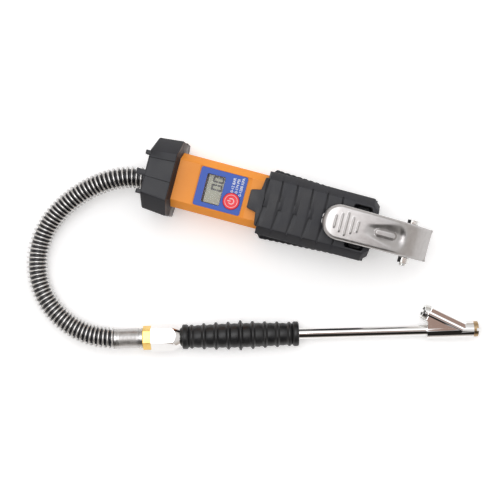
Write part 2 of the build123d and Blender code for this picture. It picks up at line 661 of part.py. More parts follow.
with BuildPart() as outlet_fitting:
    hex_bar(OUTLET, OUTLET_HEX_R, case_inside_x, OUTLET_X1, 30)
    bar(OUTLET, SPIGOT_R + HOLE_GAP, case_inside_x, OUTLET_X1 - TUBE_SOCKET - 2, Mode.SUBTRACT)
    bar(OUTLET, TUBE_BORE_R, case_inside_x, OUTLET_X1, Mode.SUBTRACT)
    bar(OUTLET, TUBE_R + HOLE_GAP, OUTLET_X1 - TUBE_SOCKET, OUTLET_X1, Mode.SUBTRACT)
pieces["outlet_fitting"] = outlet_fitting

with BuildPart() as hose_tail:
    bar(OUTLET, SPIGOT_R, CASE_X0, OUTLET_X1 - TUBE_SOCKET - 2.5)
    hex_bar(OUTLET, TAIL_HEX_R, CASE_X0 - TAIL_HEX_T, CASE_X0, 30)
    bar(OUTLET, HOSE_BORE_R - FIT_GAP, GUARD_X0, CASE_X0)
    bar(OUTLET, 2.4, GUARD_X0, OUTLET_X1, Mode.SUBTRACT)
pieces["hose_tail"] = hose_tail

with BuildPart() as tail_ferrule:
    bar(OUTLET, TAIL_FERRULE_R, GUARD_X0, HOSE_X0)
    bar(OUTLET, HOSE_R + FIT_GAP, GUARD_X0, HOSE_X0, Mode.SUBTRACT)
pieces["tail_ferrule"] = tail_ferrule

# ======================================================================= hose
# The route runs from the handle round to the lance, down on to the bench.
hose_end = LANCE.origin + LANCE.x_dir * (FERRULE_CUP - FIT_GAP)
last_bend = LANCE.origin - LANCE.x_dir * 2.7
ROUTE = [
    (-27.0, HOSE_Y, AIR_Z),
    (-47.5, -11.5, 22.2),
    (-69.0, -26.5, 17.2),
    (-87.5, -49.5, 12.3),
    (-96.3, -74.5, 9.6),
    (-94.0, -100.0, 9.35),
    (-82.0, -121.7, 9.7),
    (-61.8, -136.6, 11.2),
    (-39.8, -142.9, 13.4),
]


def hose_line(first, last):
    """Straight runs joined by arcs as large as the runs allow."""
    points = [Vector(*first)] + [Vector(*p) for p in ROUTE] + [last_bend, Vector(*last)]
    radii = []
    for a, b, c in zip(points, points[1:], points[2:]):
        run = min((b - a).length, (c - b).length)
        half_turn = math.radians((b - a).get_angle(c - b)) / 2
        radii.append(0.45 * run / math.tan(half_turn))
    FilletPolyline(*points, radius=radii)
    return radii


hose_start = (HOSE_X0, HOSE_Y, AIR_Z)
start_plane = Plane(origin=hose_start, x_dir=(0, 1, 0), z_dir=(-1, 0, 0))
with BuildPart() as air_hose:
    with BuildLine() as hose_path:
        hose_radii = hose_line(hose_start, hose_end)
    with BuildSketch(start_plane):
        Circle(HOSE_R)
        Circle(HOSE_BORE_R, mode=Mode.SUBTRACT)
    sweep(path=hose_path.wires()[0])
pieces["air_hose"] = air_hose
hose_length = hose_path.wires()[0].length
print("hose length", round(hose_length, 1), "bend radii", [round(r, 1) for r in hose_radii])

guard_start = (GUARD_X0, HOSE_Y, AIR_Z)
guard_plane = Plane(origin=guard_start, x_dir=(0, 1, 0), z_dir=(-1, 0, 0))
with BuildPart() as spring_guard:
    with BuildLine() as guard_path:
        hose_line(guard_start, LANCE.origin)
    with BuildSketch(guard_plane):
        Circle(GUARD_R)
        Circle(GUARD_R - GUARD_T, mode=Mode.SUBTRACT)
    sweep(path=guard_path.wires()[0])
pieces["spring_guard"] = spring_guard

# ====================================================================== lance
insert_s0 = FERRULE_LENGTH
insert_s1 = insert_s0 + INSERT_HEX_T
coupling_s1 = insert_s1 + COUPLING_HEX_LENGTH
spigot_end = insert_s1 + 8.0
washer_end = spigot_end + WASHER_T

with BuildPart() as hose_ferrule:
    bar(LANCE, FERRULE_R, 0, FERRULE_LENGTH)
    bar(LANCE, HOSE_R + FIT_GAP, 0, FERRULE_CUP, Mode.SUBTRACT)
    bar(LANCE, HOSE_BORE_R, FERRULE_CUP, FERRULE_LENGTH, Mode.SUBTRACT)
pieces["hose_ferrule"] = hose_ferrule

with BuildPart() as hose_insert:
    bar(LANCE, HOSE_BORE_R - FIT_GAP, 0, insert_s0)
    hex_bar(LANCE, INSERT_HEX_R, insert_s0, insert_s1, INSERT_TURN)
    bar(LANCE, SOCKET_R - FIT_GAP, insert_s1, spigot_end)
    bar(LANCE, 2.4, 0, spigot_end, Mode.SUBTRACT)
pieces["hose_insert"] = hose_insert

with BuildPart() as coupling_washer:
    bar(LANCE, SOCKET_R - FIT_GAP, spigot_end, washer_end)
    bar(LANCE, LANCE_TUBE_BORE_R, spigot_end, washer_end, Mode.SUBTRACT)
pieces["coupling_washer"] = coupling_washer

with BuildPart() as hex_coupling:
    hex_bar(LANCE, COUPLING_HEX_R, insert_s1, coupling_s2, COUPLING_TURN)
    with BuildSketch(LANCE):
        outline([
            (coupling_s1, COUPLING_HEX_R),
            (coupling_s2, COUPLING_NOSE_R),
            (coupling_s2, COUPLING_HEX_R + 1),
            (coupling_s1, COUPLING_HEX_R + 1),
        ])
    revolve(axis=LANCE_AXIS, mode=Mode.SUBTRACT)
    bar(LANCE, SOCKET_R, insert_s1, washer_end, Mode.SUBTRACT)
    bar(LANCE, LANCE_TUBE_R + FIT_GAP, washer_end, coupling_s2, Mode.SUBTRACT)
pieces["hex_coupling"] = hex_coupling

tube_end = CHUCK_S0 + 6.0
with BuildPart() as lance_tube:
    bar(LANCE, LANCE_TUBE_R, washer_end, tube_end)
    bar(LANCE, LANCE_TUBE_BORE_R, washer_end, tube_end, Mode.SUBTRACT)
pieces["lance_tube"] = lance_tube

grip_s0 = coupling_s2
grip_middle = grip_s0 + GRIP_LENGTH / 2
first_ring = grip_middle - GRIP_RING_PITCH * (GRIP_RINGS - 1) / 2


def barrel_radius(s):
    """The grip's barrel, swelling from its ends to its middle."""
    return GRIP_BARREL_R + GRIP_SWELL * math.cos(math.pi * (s - grip_middle) / GRIP_LENGTH)


with BuildPart() as lance_grip:
    grip_outline = [
        (grip_s0, GRIP_END_R - 1), (grip_s0 + 1.5, GRIP_END_R), (grip_s0 + 4.5, GRIP_END_R),
    ]
    grip_outline.append((grip_s0 + 6.2, GRIP_NECK_R))
    for ring in range(GRIP_RINGS):
        s = first_ring + GRIP_RING_PITCH * ring
        middle = (GRIP_RINGS - 1) / 2
        top = RING_R if ring == middle else barrel_radius(s) + GRIP_RING_RISE
        grip_outline += [
            (s - GRIP_RING_HALF, barrel_radius(s - GRIP_RING_HALF)),
            (s - GRIP_RING_HALF / 2, top),
            (s + GRIP_RING_HALF / 2, top),
            (s + GRIP_RING_HALF, barrel_radius(s + GRIP_RING_HALF)),
        ]
    grip_s1 = grip_s0 + GRIP_LENGTH
    grip_outline += [(grip_s1 - 6.2, GRIP_NECK_R), (grip_s1 - 4.5, GRIP_END_R)]
    grip_outline.append((grip_s1 - 1.5, GRIP_END_R))
    grip_outline += [(grip_s1, GRIP_END_R - 1), (grip_s1, LANCE_TUBE_R), (grip_s0, LANCE_TUBE_R)]
    with BuildSketch(LANCE):
        outline(grip_outline)
    revolve(axis=LANCE_AXIS)
pieces["lance_grip"] = lance_grip

# ====================================================================== chuck
branch_rad = math.radians(BRANCH_TURN)
junction = LANCE.origin + LANCE.x_dir * BRANCH_S
branch_dir = LANCE.y_dir * math.sin(branch_rad) - LANCE.x_dir * math.cos(branch_rad)
BRANCH = Plane(origin=junction, x_dir=branch_dir, z_dir=LANCE.z_dir)
straight_face = LANCE.origin + LANCE.x_dir * CHUCK_S1
angled_face = junction + branch_dir * BRANCH_LENGTH
MOUTHS = {
    "straight": Plane(origin=straight_face, x_dir=LANCE.x_dir, z_dir=LANCE.z_dir),
    "angled": Plane(origin=angled_face, x_dir=branch_dir, z_dir=LANCE.z_dir),
}
mouth_s = BRANCH_S - BRANCH_LENGTH * math.cos(branch_rad)
mouth_t = BRANCH_LENGTH * math.sin(branch_rad)
web_top = BRANCH_R - 0.5

with BuildPart() as chuck_body:
    bar(LANCE, CHUCK_R, CHUCK_S0, CHUCK_S1)
    bar(BRANCH, BRANCH_R, 0, BRANCH_LENGTH)
    with BuildSketch(LANCE):
        outline([
            (CHUCK_S0, 0),
            (BRANCH_S + 4, 0),
            (BRANCH_S + web_top * math.sin(branch_rad), web_top * math.cos(branch_rad)),
            (mouth_s + web_top * math.sin(branch_rad), mouth_t + web_top * math.cos(branch_rad)),
            (mouth_s - web_top * math.sin(branch_rad), mouth_t - web_top * math.cos(branch_rad)),
            (CHUCK_S0, CHUCK_R - 0.5),
        ])
    extrude(amount=WEB_HALF, both=True)
    bar(LANCE, LANCE_TUBE_R + FIT_GAP, CHUCK_S0, tube_end, Mode.SUBTRACT)
    bar(LANCE, 2.0, tube_end, CHUCK_S1, Mode.SUBTRACT)
    bar(BRANCH, 1.5, 6, BRANCH_LENGTH, Mode.SUBTRACT)
    for mouth in MOUTHS.values():
        bar(mouth, MOUTH_BORE_R, -MOUTH_DEPTH, 0, Mode.SUBTRACT)
        bar(mouth, POPPET_BORE_R, -MOUTH_DEPTH - POPPET_DEPTH, -MOUTH_DEPTH, Mode.SUBTRACT)
pieces["chuck_body"] = chuck_body

for name, mouth in MOUTHS.items():
    neck_r = MOUTH_BORE_R - FIT_GAP
    with BuildPart() as collar:
        bar(mouth, neck_r, -COLLAR_NECK, 0)
        bar(mouth, COLLAR_OUT_R, 0, COLLAR_FLANGE_T)
        bar(mouth, VALVE_BORE_R, -COLLAR_NECK, COLLAR_FLANGE_T, Mode.SUBTRACT)
        face = Plane(
            origin=mouth.origin + mouth.x_dir * (COLLAR_FLANGE_T - NOTCH_DEPTH),
            x_dir=mouth.y_dir, z_dir=mouth.x_dir,
        )
        with BuildSketch(face):
            Rectangle(2 * COLLAR_OUT_R + 1, NOTCH_W)
            Rectangle(NOTCH_W, 2 * COLLAR_OUT_R + 1)
        extrude(amount=NOTCH_DEPTH, mode=Mode.SUBTRACT)
    pieces[f"{name}_collar"] = collar
    with BuildPart() as mouth_seal:
        bar(mouth, neck_r, -MOUTH_DEPTH, -COLLAR_NECK)
        bar(mouth, SEAL_BORE_R, -MOUTH_DEPTH, -COLLAR_NECK, Mode.SUBTRACT)
    pieces[f"{name}_seal"] = mouth_seal
    disc = -MOUTH_DEPTH - 0.1
    with BuildPart() as poppet:
        bar(mouth, POPPET_R, disc - POPPET_T, disc)
        pin_start = POPPET_TRAVEL + PIN_SPARE - MOUTH_DEPTH - POPPET_DEPTH
        bar(mouth, PIN_R, pin_start, disc + PIN_REACH)
    pieces[f"{name}_poppet"] = poppet
    spring_end = -MOUTH_DEPTH - POPPET_DEPTH
    with BuildPart() as poppet_spring:
        bar(mouth, POPPET_R - 0.4, spring_end, disc - POPPET_T)
        bar(mouth, POPPET_R - 0.4 - SPRING_WIRE, spring_end, disc - POPPET_T, Mode.SUBTRACT)
    pieces[f"{name}_spring"] = poppet_spring

# ================================================================== grip boot
with BuildPart() as grip_boot:
    with BuildSketch(across(BOOT_X0, 0, 0)):
        top_corner = BOOT_HALF - BOOT_FRONT_HALF
        outline([
            (BOOT_FRONT_HALF, BOOT_FRONT), (-BOOT_FRONT_HALF, BOOT_FRONT),
            (-BOOT_HALF, BOOT_FRONT - top_corner), (-BOOT_HALF, BOOT_CORNER),
            (BOOT_CORNER - BOOT_HALF, 0), (BOOT_HALF - BOOT_CORNER, 0),
            (BOOT_HALF, BOOT_CORNER), (BOOT_HALF, BOOT_FRONT - top_corner),
        ])
    extrude(amount=BOOT_X1 - BOOT_X0)
    with BuildSketch(Plane.XY.offset(BOOT_CORNER)):
        outline([
            (WING_X0, -WING_HALF), (WING_X1, -BOOT_HALF),
            (WING_X1, BOOT_HALF), (WING_X0, WING_HALF),
        ])
    extrude(amount=WING_TOP - BOOT_CORNER)
    with BuildSketch(Plane.XY.offset(CASE_TOP)):
        outline([
            (TONGUE_X0, -TONGUE_TIP_HALF), (TONGUE_ROOT_X, -TONGUE_ROOT_HALF),
            (FRONT_LIP_X, -BOOT_FRONT_HALF), (BOOT_X0, -BOOT_FRONT_HALF),
            (BOOT_X0, BOOT_FRONT_HALF), (FRONT_LIP_X, BOOT_FRONT_HALF),
            (TONGUE_ROOT_X, TONGUE_ROOT_HALF), (TONGUE_X0, TONGUE_TIP_HALF),
        ])
    extrude(amount=BOOT_FRONT - CASE_TOP)
    with BuildSketch(Plane.XY):
        outline([
            (TONGUE_X0 - 1, -WING_HALF - 1), (BOOT_X1 - END_TAPER, -WING_HALF - 1),
            (BOOT_X1 - END_TAPER, -BOOT_HALF), (BOOT_X1, END_TAPER - BOOT_HALF),
            (BOOT_X1, BOOT_HALF - END_TAPER), (BOOT_X1 - END_TAPER, BOOT_HALF),
            (BOOT_X1 - END_TAPER, WING_HALF + 1), (TONGUE_X0 - 1, WING_HALF + 1),
        ])
    extrude(amount=BOOT_FRONT, mode=Mode.INTERSECT)
    bar(AIR, COLLAR_R, BOOT_X1, COLLAR_X1)
    with BuildSketch(across(TONGUE_X0 - 1)):
        corner_cut_box(CASE_HALF_W, CASE_HALF_D, CASE_CORNER)
    extrude(amount=CASE_X1 - TONGUE_X0 + 1, mode=Mode.SUBTRACT)
    slab(CASE_X1, HEAD_X1, -HEAD_HALF, HEAD_HALF, FLOOR_Z, HEAD_TOP, Mode.SUBTRACT)
    bar(AIR, NECK_R, HEAD_X1, COLLAR_X1, Mode.SUBTRACT)
    with BuildSketch(Plane.XZ):
        outline([
            (WELL_X0, BOOT_FRONT + 1), (WELL_X0, BOOT_FRONT), (WELL_X0 + WELL_SLOPE, WELL_FLOOR),
            (WELL_X1 - 1, WELL_FLOOR), (WELL_X1, BOOT_FRONT), (WELL_X1, BOOT_FRONT + 1),
        ])
    extrude(amount=WELL_HALF, both=True, mode=Mode.SUBTRACT)
    gland_room = GLAND_FLANGE_R + GLAND_GAP
    slab(
        STEM_X - gland_room, STEM_X + gland_room, -STEM_Y - gland_room, STEM_Y + gland_room,
        HEAD_TOP, WELL_FLOOR, Mode.SUBTRACT,
    )
    for groove in range(GROOVE_COUNT):
        groove_x = GROOVE_X0 + GROOVE_PITCH * groove
        for side in (1, -1):
            y0, y1 = sorted((side * GROOVE_MIDDLE, side * (GROOVE_MIDDLE + GROOVE_LENGTH)))
            slab(
                groove_x - GROOVE_W / 2, groove_x + GROOVE_W / 2, y0, y1,
                BOOT_FRONT - GROOVE_DEPTH, BOOT_FRONT, Mode.SUBTRACT,
            )
pieces["grip_boot"] = grip_boot

# ====================================================================== lever
lever_x1 = LEVER_TOP[-1][0]
thumb_x = LEVER_TIP_X + LEVER_HALF


def lever_plan(shrink):
    """The lever from above: a round thumb end and straight, slightly tapered sides."""
    half, end_half = LEVER_HALF - shrink, LEVER_END_HALF - shrink
    with BuildLine() as plan:
        Line((thumb_x, half), (lever_x1 + 1, end_half))
        Line((lever_x1 + 1, end_half), (lever_x1 + 1, -end_half))
        Line((lever_x1 + 1, -end_half), (thumb_x, -half))
        ThreePointArc((thumb_x, -half), (thumb_x - half, 0), (thumb_x, half))
    make_face(plan.edges())


def lever_block(top, base, shrink):
    """A block under a curved top line, with the lever's outline from above."""
    with BuildSketch(Plane.XZ) as side:
        with BuildLine():
            Spline(*top)
            Polyline(top[-1], *base, top[0])
        make_face()
    extrude(side.sketch, amount=LEVER_HALF, both=True)
    with BuildSketch(Plane.XY.offset(PIVOT_Z - 25)) as above:
        lever_plan(shrink)
    extrude(above.sketch, amount=50, mode=Mode.INTERSECT)


inner_top = inset(LEVER_TOP, LEVER_WALL)
inner_base_z = min(z for _, z in LEVER_BASE) - 5
with BuildPart() as lever_hollow:
    inner_base = [(inner_top[-1][0], inner_base_z), (inner_top[0][0], inner_base_z)]
    lever_block(inner_top, inner_base, LEVER_WALL)

with BuildPart() as lever:
    lever_block(LEVER_TOP, LEVER_BASE, 0)
    add(lever_hollow.part, mode=Mode.SUBTRACT)
    slab(
        STEM_X - PAD_HALF_X, STEM_X + PAD_HALF_X, -PAD_HALF_Y, PAD_HALF_Y,
        STEM_TOP + PAD_GAP, LEVER_TOP[2][1] - LEVER_WALL,
    )
    bar(PIVOT, BOLT_R + PIVOT_GAP, -LEVER_HALF - 1, LEVER_HALF + 1, Mode.SUBTRACT)
    for i, length in enumerate(THUMB_RIB_LENGTHS):
        rib_x = THUMB_RIB_X + THUMB_RIB_PITCH * (i - (len(THUMB_RIB_LENGTHS) - 1) / 2)
        slab(
            rib_x - THUMB_RIB_W / 2, rib_x + THUMB_RIB_W / 2, -length / 2, length / 2,
            THUMB_RIB_TOP - 1.8, THUMB_RIB_TOP,
        )
    with BuildSketch(Plane.XY.offset(PILL_TOP - 1.5)):
        with Locations((PILL_X, 0)):
            SlotOverall(PILL_LENGTH, 2 * PILL_R)
    extrude(amount=1.5)
pieces["lever"] = lever

lever_taper = (LEVER_HALF - LEVER_END_HALF) / (lever_x1 + 1 - thumb_x)
ear_y = LEVER_HALF - lever_taper * (PIVOT_X - thumb_x)
head_y = ear_y + 0.2
with BuildPart() as pivot_bolt:
    bar(PIVOT, BOLT_R, -head_y - NUT_H - BOLT_SPARE, head_y)
    hex_bar(PIVOT, BOLT_HEX_R, head_y, head_y + BOLT_HEAD_H)
pieces["pivot_bolt"] = pivot_bolt

with BuildPart() as pivot_nut:
    hex_bar(PIVOT, BOLT_HEX_R, -head_y - NUT_H, -head_y)
    bar(PIVOT, BOLT_R + HOLE_GAP / 2, -head_y - NUT_H, -head_y, Mode.SUBTRACT)
pieces["pivot_nut"] = pivot_nut

# =================================================================== hand-over
# The origin goes to the bench under the middle of all but the free hose.
CORD = ("air_hose", "spring_guard")
box = Compound([piece.part for name, piece in pieces.items() if name not in CORD]).bounding_box()
to_origin = Location((-(box.min.X + box.max.X) / 2, -(box.min.Y + box.max.Y) / 2, -box.min.Z))
print("origin shift", [round(v, 3) for v in to_origin.position])
for name, piece in pieces.items():
    placed = piece.part.moved(to_origin)
    placed.label = name
    export_step(placed, f"parts/{name}.step")
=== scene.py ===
"""The looks of a tyre inflator with a gauge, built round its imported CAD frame.

Pieces are drawn in millimetres in a few frames: the handle's (x along it, z out of its face), the lance's
and the two valve mouths' (x along their axes).  Each frame's matrix turns them into the row frame's metres.
"""

import json
import math

import bmesh
import bpy
from mathutils import Matrix, Vector


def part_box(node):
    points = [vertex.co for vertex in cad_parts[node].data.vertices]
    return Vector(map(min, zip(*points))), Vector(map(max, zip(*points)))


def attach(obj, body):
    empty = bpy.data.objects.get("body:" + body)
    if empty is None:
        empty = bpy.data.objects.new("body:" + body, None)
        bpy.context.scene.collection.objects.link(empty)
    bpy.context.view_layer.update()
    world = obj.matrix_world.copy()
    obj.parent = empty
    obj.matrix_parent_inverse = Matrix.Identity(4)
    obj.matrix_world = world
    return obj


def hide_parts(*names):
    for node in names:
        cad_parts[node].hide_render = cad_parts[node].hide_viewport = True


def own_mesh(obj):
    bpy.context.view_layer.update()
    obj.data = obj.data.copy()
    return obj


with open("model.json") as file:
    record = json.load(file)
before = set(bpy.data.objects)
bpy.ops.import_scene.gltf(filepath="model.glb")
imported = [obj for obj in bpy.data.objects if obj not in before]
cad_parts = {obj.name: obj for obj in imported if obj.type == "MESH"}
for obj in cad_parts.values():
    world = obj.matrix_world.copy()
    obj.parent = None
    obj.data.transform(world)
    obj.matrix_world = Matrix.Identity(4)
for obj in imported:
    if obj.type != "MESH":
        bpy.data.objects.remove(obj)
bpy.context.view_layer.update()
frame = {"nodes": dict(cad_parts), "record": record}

MM = 0.001
mounts = {mount["name"]: mount for mount in frame["record"]["mounts"]}

# ------------------------------------------------------------------- the frames
CASE_INSIDE = 8.0             # how far the case goes into the bumper
COLLAR_FLANGE = 4.0
CHUCK_END = 297.5             # the straight mouth's face, from the lance's hose end
shell_lo, shell_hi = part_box("front_shell")
handle_middle = (shell_lo.y + shell_hi.y) / 2
HANDLE_ORIGIN = Vector((shell_lo.x + CASE_INSIDE * MM, handle_middle, 0))
HANDLE = Matrix.Translation(HANDLE_ORIGIN) @ Matrix.Scale(MM, 4)


def behind(mount, distance):
    """A frame on a mount's axis, so many millimetres behind its collar's face."""
    axis = Vector(mount["axis"]).normalized()
    side = Vector((0, 0, 1)).cross(axis).normalized()
    turn = Matrix((axis, side, axis.cross(side))).transposed().to_4x4()
    middle_to_face = mount["dims"]["length_mm"] / 2 - COLLAR_FLANGE
    origin = Vector(mount["pos_m"]) + axis * (middle_to_face - distance) * MM
    return Matrix.Translation(origin) @ turn @ Matrix.Scale(MM, 4)


LANCE = behind(mounts["valve_mouth_straight"], CHUCK_END)
STRAIGHT_MOUTH = behind(mounts["valve_mouth_straight"], 0)
ANGLED_MOUTH = behind(mounts["valve_mouth_angled"], 0)


# ------------------------------------------------------------------ mesh making
def mesh_piece(name, points, faces, at):
    """A mesh object from points in a frame's millimetres, its faces turned outwards."""
    mesh = bpy.data.meshes.new(name)
    mesh.from_pydata([at @ Vector(p) for p in points], [], faces)
    shape = bmesh.new()
    shape.from_mesh(mesh)
    bmesh.ops.remove_doubles(shape, verts=shape.verts, dist=1e-7)
    bmesh.ops.recalc_face_normals(shape, faces=shape.faces)
    shape.to_mesh(mesh)
    shape.free()
    piece = bpy.data.objects.new(name, mesh)
    bpy.context.scene.collection.objects.link(piece)
    return piece


def skin(name, rings, at, ends="capped"):
    """Quads over rings of equally many points, with ends capped, open or joined in a loop."""
    count = len(rings[0])
    points = [p for ring in rings for p in ring]
    faces = []
    for i in range(len(rings) if ends == "looped" else len(rings) - 1):
        a, b = i * count, (i + 1) % len(rings) * count
        for k in range(count):
            n = (k + 1) % count
            faces.append((a + k, a + n, b + n, b + k))
    if ends == "capped":
        faces.append(tuple(range(count)))
        faces.append(tuple(range(len(points) - count, len(points))))
    return mesh_piece(name, points, faces, at)


def plate(name, outline, low, high, at):
    """An outline in the frame's x and y, thick along z."""
    return skin(name, [[(x, y, z) for x, y in outline] for z in (low, high)], at)


def beam(name, section, start, end, at):
    """A section in the frame's y and z, drawn out along x."""
    return skin(name, [[(x, y, z) for y, z in section] for x in (start, end)], at)


def turned(name, profile, at, segments=72):
    """A round piece about the frame's x axis, from (along, radius) pairs."""
    angles = [2 * math.pi * k / segments for k in range(segments)]
    rings = [[(s, r * math.cos(a), r * math.sin(a)) for a in angles] for s, r in profile]
    hollow = profile[0][1] > 0
    return skin(name, rings, at, "looped" if hollow else "open")


def box_outline(x0, x1, y0, y1):
    return [(x0, y0), (x1, y0), (x1, y1), (x0, y1)]


def eased_outline(corners, radius, steps=5):
    """A closed outline whose corners are arcs, no larger than their sides allow."""
    points = []
    for i, corner in enumerate(corners):
        here = Vector(corner)
        back = Vector(corners[i - 1]) - here
        on = Vector(corners[(i + 1) % len(corners)]) - here
        half = back.angle(on) / 2
        reach = min(radius / math.tan(half), 0.45 * back.length, 0.45 * on.length)
        true_radius = reach * math.tan(half)
        back.normalize()
        on.normalize()
        middle = here + (back + on).normalized() * true_radius / math.sin(half)
        start, end = here + back * reach - middle, here + on * reach - middle
        sweep = math.pi - 2 * half
        for k in range(steps + 1):
            t = k / steps
            way = (start * math.sin((1 - t) * sweep) + end * math.sin(t * sweep)) / math.sin(sweep)
            points.append(tuple(middle + way))
    return points


def circle_outline(x, y, radius, segments=64):
    turns = [2 * math.pi * k / segments for k in range(segments)]
    return [(x + radius * math.cos(a), y + radius * math.sin(a)) for a in turns]


def corner_cut(half_y, half_z, corner, middle_z):
    """An octagon in y and z: a rectangle with its corners cut at 45 degrees."""
    points = []
    for sy, sz in ((1, 1), (-1, 1), (-1, -1), (1, -1)):
        a = (sy * half_y, middle_z + sz * (half_z - corner))
        b = (sy * (half_y - corner), middle_z + sz * half_z)
        points += [a, b] if sy * sz > 0 else [b, a]
    return points


def settle(piece):
    """Puts the piece's modifiers into its mesh."""
    graph = bpy.context.evaluated_depsgraph_get()
    mesh = bpy.data.meshes.new_from_object(piece.evaluated_get(graph))
    piece.modifiers.clear()
    piece.data = mesh
    return piece


def combine(piece, others, operation):
    """Joins other pieces to this one, cuts them out of it or keeps what they share."""
    for other in others:
        step = piece.modifiers.new("combine", "BOOLEAN")
        step.operation = operation
        step.solver = "EXACT"
        step.object = other
        settle(piece)
        bpy.data.objects.remove(other)
    return piece


def ease(piece, width, segments=2, angle=30):
    """Rounds the piece's sharp edges, so many millimetres wide."""
    step = piece.modifiers.new("ease", "BEVEL")
    step.width = width * MM
    step.segments = segments
    step.limit_method = "ANGLE"
    step.angle_limit = math.radians(angle)
    return settle(piece)


def dress(piece, finish, body="handle", instead_of=(), smooth=32):
    """Gives a piece its finish, shading and body, and the nodes it stands for."""
    piece.data.materials.clear()
    piece.data.materials.append(finish)
    piece.data.shade_smooth()
    piece.data.set_sharp_from_angle(angle=math.radians(smooth))
    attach(piece, body)
    if instead_of:
        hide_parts(*instead_of)
    return piece


def through(points, x):
    """The height at x of a smooth line through points, by a cubic between each pair."""
    last = len(points) - 2
    i = next((k for k in range(last + 1) if x <= points[k + 1][0]), last)

    def slope(k):
        before, after = points[max(k - 1, 0)], points[min(k + 1, last + 1)]
        return (after[1] - before[1]) / (after[0] - before[0])

    (x0, z0), (x1, z1) = points[i], points[i + 1]
    run = x1 - x0
    t = min(max((x - x0) / run, 0), 1)
    start = (2 * t ** 3 - 3 * t ** 2 + 1) * z0 + (t ** 3 - 2 * t ** 2 + t) * run * slope(i)
    end = (3 * t ** 2 - 2 * t ** 3) * z1 + (t ** 3 - t ** 2) * run * slope(i + 1)
    return start + end


def step_up(low, high, x):
    """0 below low, 1 above high and smooth between them."""
    t = min(max((x - low) / (high - low), 0), 1)
    return t * t * (3 - 2 * t)


# -------------------------------------------------------------------- materials
def finish(name, light, dark, rough, grain, relief, patch=60, metal=0.0, stretch=(1, 1, 1), **plain):
    """A material that drifts in colour and roughness over patches and has a fine raised grain.

    grain and patch are noise scales per metre, relief is the grain's height in metres, and plain holds
    the shader's own sockets.
    """
    made = bpy.data.materials.new(name)
    made.use_nodes = True
    nodes, links = made.node_tree.nodes, made.node_tree.links
    shader = nodes["Principled BSDF"]
    place = nodes.new("ShaderNodeTexCoord")
    scaling = nodes.new("ShaderNodeMapping")
    scaling.inputs["Scale"].default_value = stretch
    links.new(place.outputs["Object"], scaling.inputs["Vector"])

    def noise(scale, detail):
        made_noise = nodes.new("ShaderNodeTexNoise")
        made_noise.inputs["Scale"].default_value = scale
        made_noise.inputs["Detail"].default_value = detail
        links.new(scaling.outputs["Vector"], made_noise.inputs["Vector"])
        return made_noise.outputs["Fac"]

    def ranged(source, low, high):
        spread = nodes.new("ShaderNodeMapRange")
        spread.inputs["From Min"].default_value = 0.3
        spread.inputs["From Max"].default_value = 0.7
        spread.inputs["To Min"].default_value = low
        spread.inputs["To Max"].default_value = high
        links.new(source, spread.inputs["Value"])
        return spread.outputs["Result"]

    drift = noise(patch, 5)
    mixed = nodes.new("ShaderNodeMix")
    mixed.data_type = "RGBA"
    mixed.inputs["A"].default_value = (*dark, 1)
    mixed.inputs["B"].default_value = (*light, 1)
    links.new(ranged(drift, 0, 1), mixed.inputs["Factor"])
    links.new(mixed.outputs["Result"], shader.inputs["Base Color"])
    links.new(ranged(drift, *rough), shader.inputs["Roughness"])
    bump = nodes.new("ShaderNodeBump")
    bump.inputs["Distance"].default_value = relief
    links.new(noise(grain, 3), bump.inputs["Height"])
    links.new(bump.outputs["Normal"], shader.inputs["Normal"])
    shader.inputs["Metallic"].default_value = metal
    for socket, value in plain.items():
        shader.inputs[socket.replace("_", " ")].default_value = value
    return made


RUBBER = finish(
    "cap_rubber", (0.020, 0.021, 0.027), (0.013, 0.013, 0.016), (0.34, 0.50), 2600, 4e-5, patch=90,
    Specular_IOR_Level=0.42,
)
BOOT_RUBBER = finish(
    "boot_rubber", (0.021, 0.022, 0.028), (0.014, 0.014, 0.017), (0.36, 0.52), 2200, 5e-5, patch=80,
    Specular_IOR_Level=0.42,
)
GRIP_RUBBER = finish(
    "grip_rubber", (0.016, 0.016, 0.017), (0.010, 0.010, 0.011), (0.32, 0.46), 1800, 5e-5, patch=120,
    Specular_IOR_Level=0.42,
)
ORANGE = finish(
    "orange_plastic", (0.90, 0.325, 0.045), (0.86, 0.30, 0.040), (0.38, 0.46), 3500, 1.2e-5, patch=50,
    Specular_IOR_Level=0.28,
)
LABEL_BLUE = finish(
    "label_blue", (0.050, 0.120, 0.50), (0.044, 0.108, 0.46), (0.34, 0.42), 4000, 4e-6,
    Specular_IOR_Level=0.25,
)
LABEL_WHITE = finish("label_white", (0.85, 0.86, 0.88), (0.80, 0.81, 0.83), (0.35, 0.45), 4000, 4e-6)
BUTTON_RED = finish(
    "button_red", (0.90, 0.045, 0.065), (0.84, 0.038, 0.055), (0.30, 0.38), 3000, 1e-5,
    Specular_IOR_Level=0.3,
)
BUTTON_PRINT = finish("button_print", (0.86, 0.60, 0.62), (0.82, 0.55, 0.58), (0.35, 0.45), 3000, 4e-6)
# the display module's black, which also stands in part for painted shade on the window's recess wall
BEZEL_BLACK_AND_SHADE = finish("display_bezel_and_shade", (0.020, 0.020, 0.020), (0.012, 0.012, 0.012), (0.40, 0.55), 3000, 1e-5)
DISPLAY = finish("display_grey_green", (0.34, 0.35, 0.26), (0.31, 0.32, 0.24), (0.22, 0.28), 500, 2e-6)
SEGMENTS = finish("display_segments", (0.012, 0.012, 0.010), (0.010, 0.010, 0.009), (0.30, 0.40), 2000, 1e-6)
CAST = finish(
    "cast_lever", (0.53, 0.515, 0.51), (0.47, 0.455, 0.45), (0.34, 0.40), 2600, 2.0e-5,
    patch=300, metal=1.0,
)
CAST_BODY = finish(
    "cast_body", (0.50, 0.50, 0.51), (0.38, 0.38, 0.39), (0.38, 0.55), 900, 5e-5,
    patch=200, metal=1.0,
)
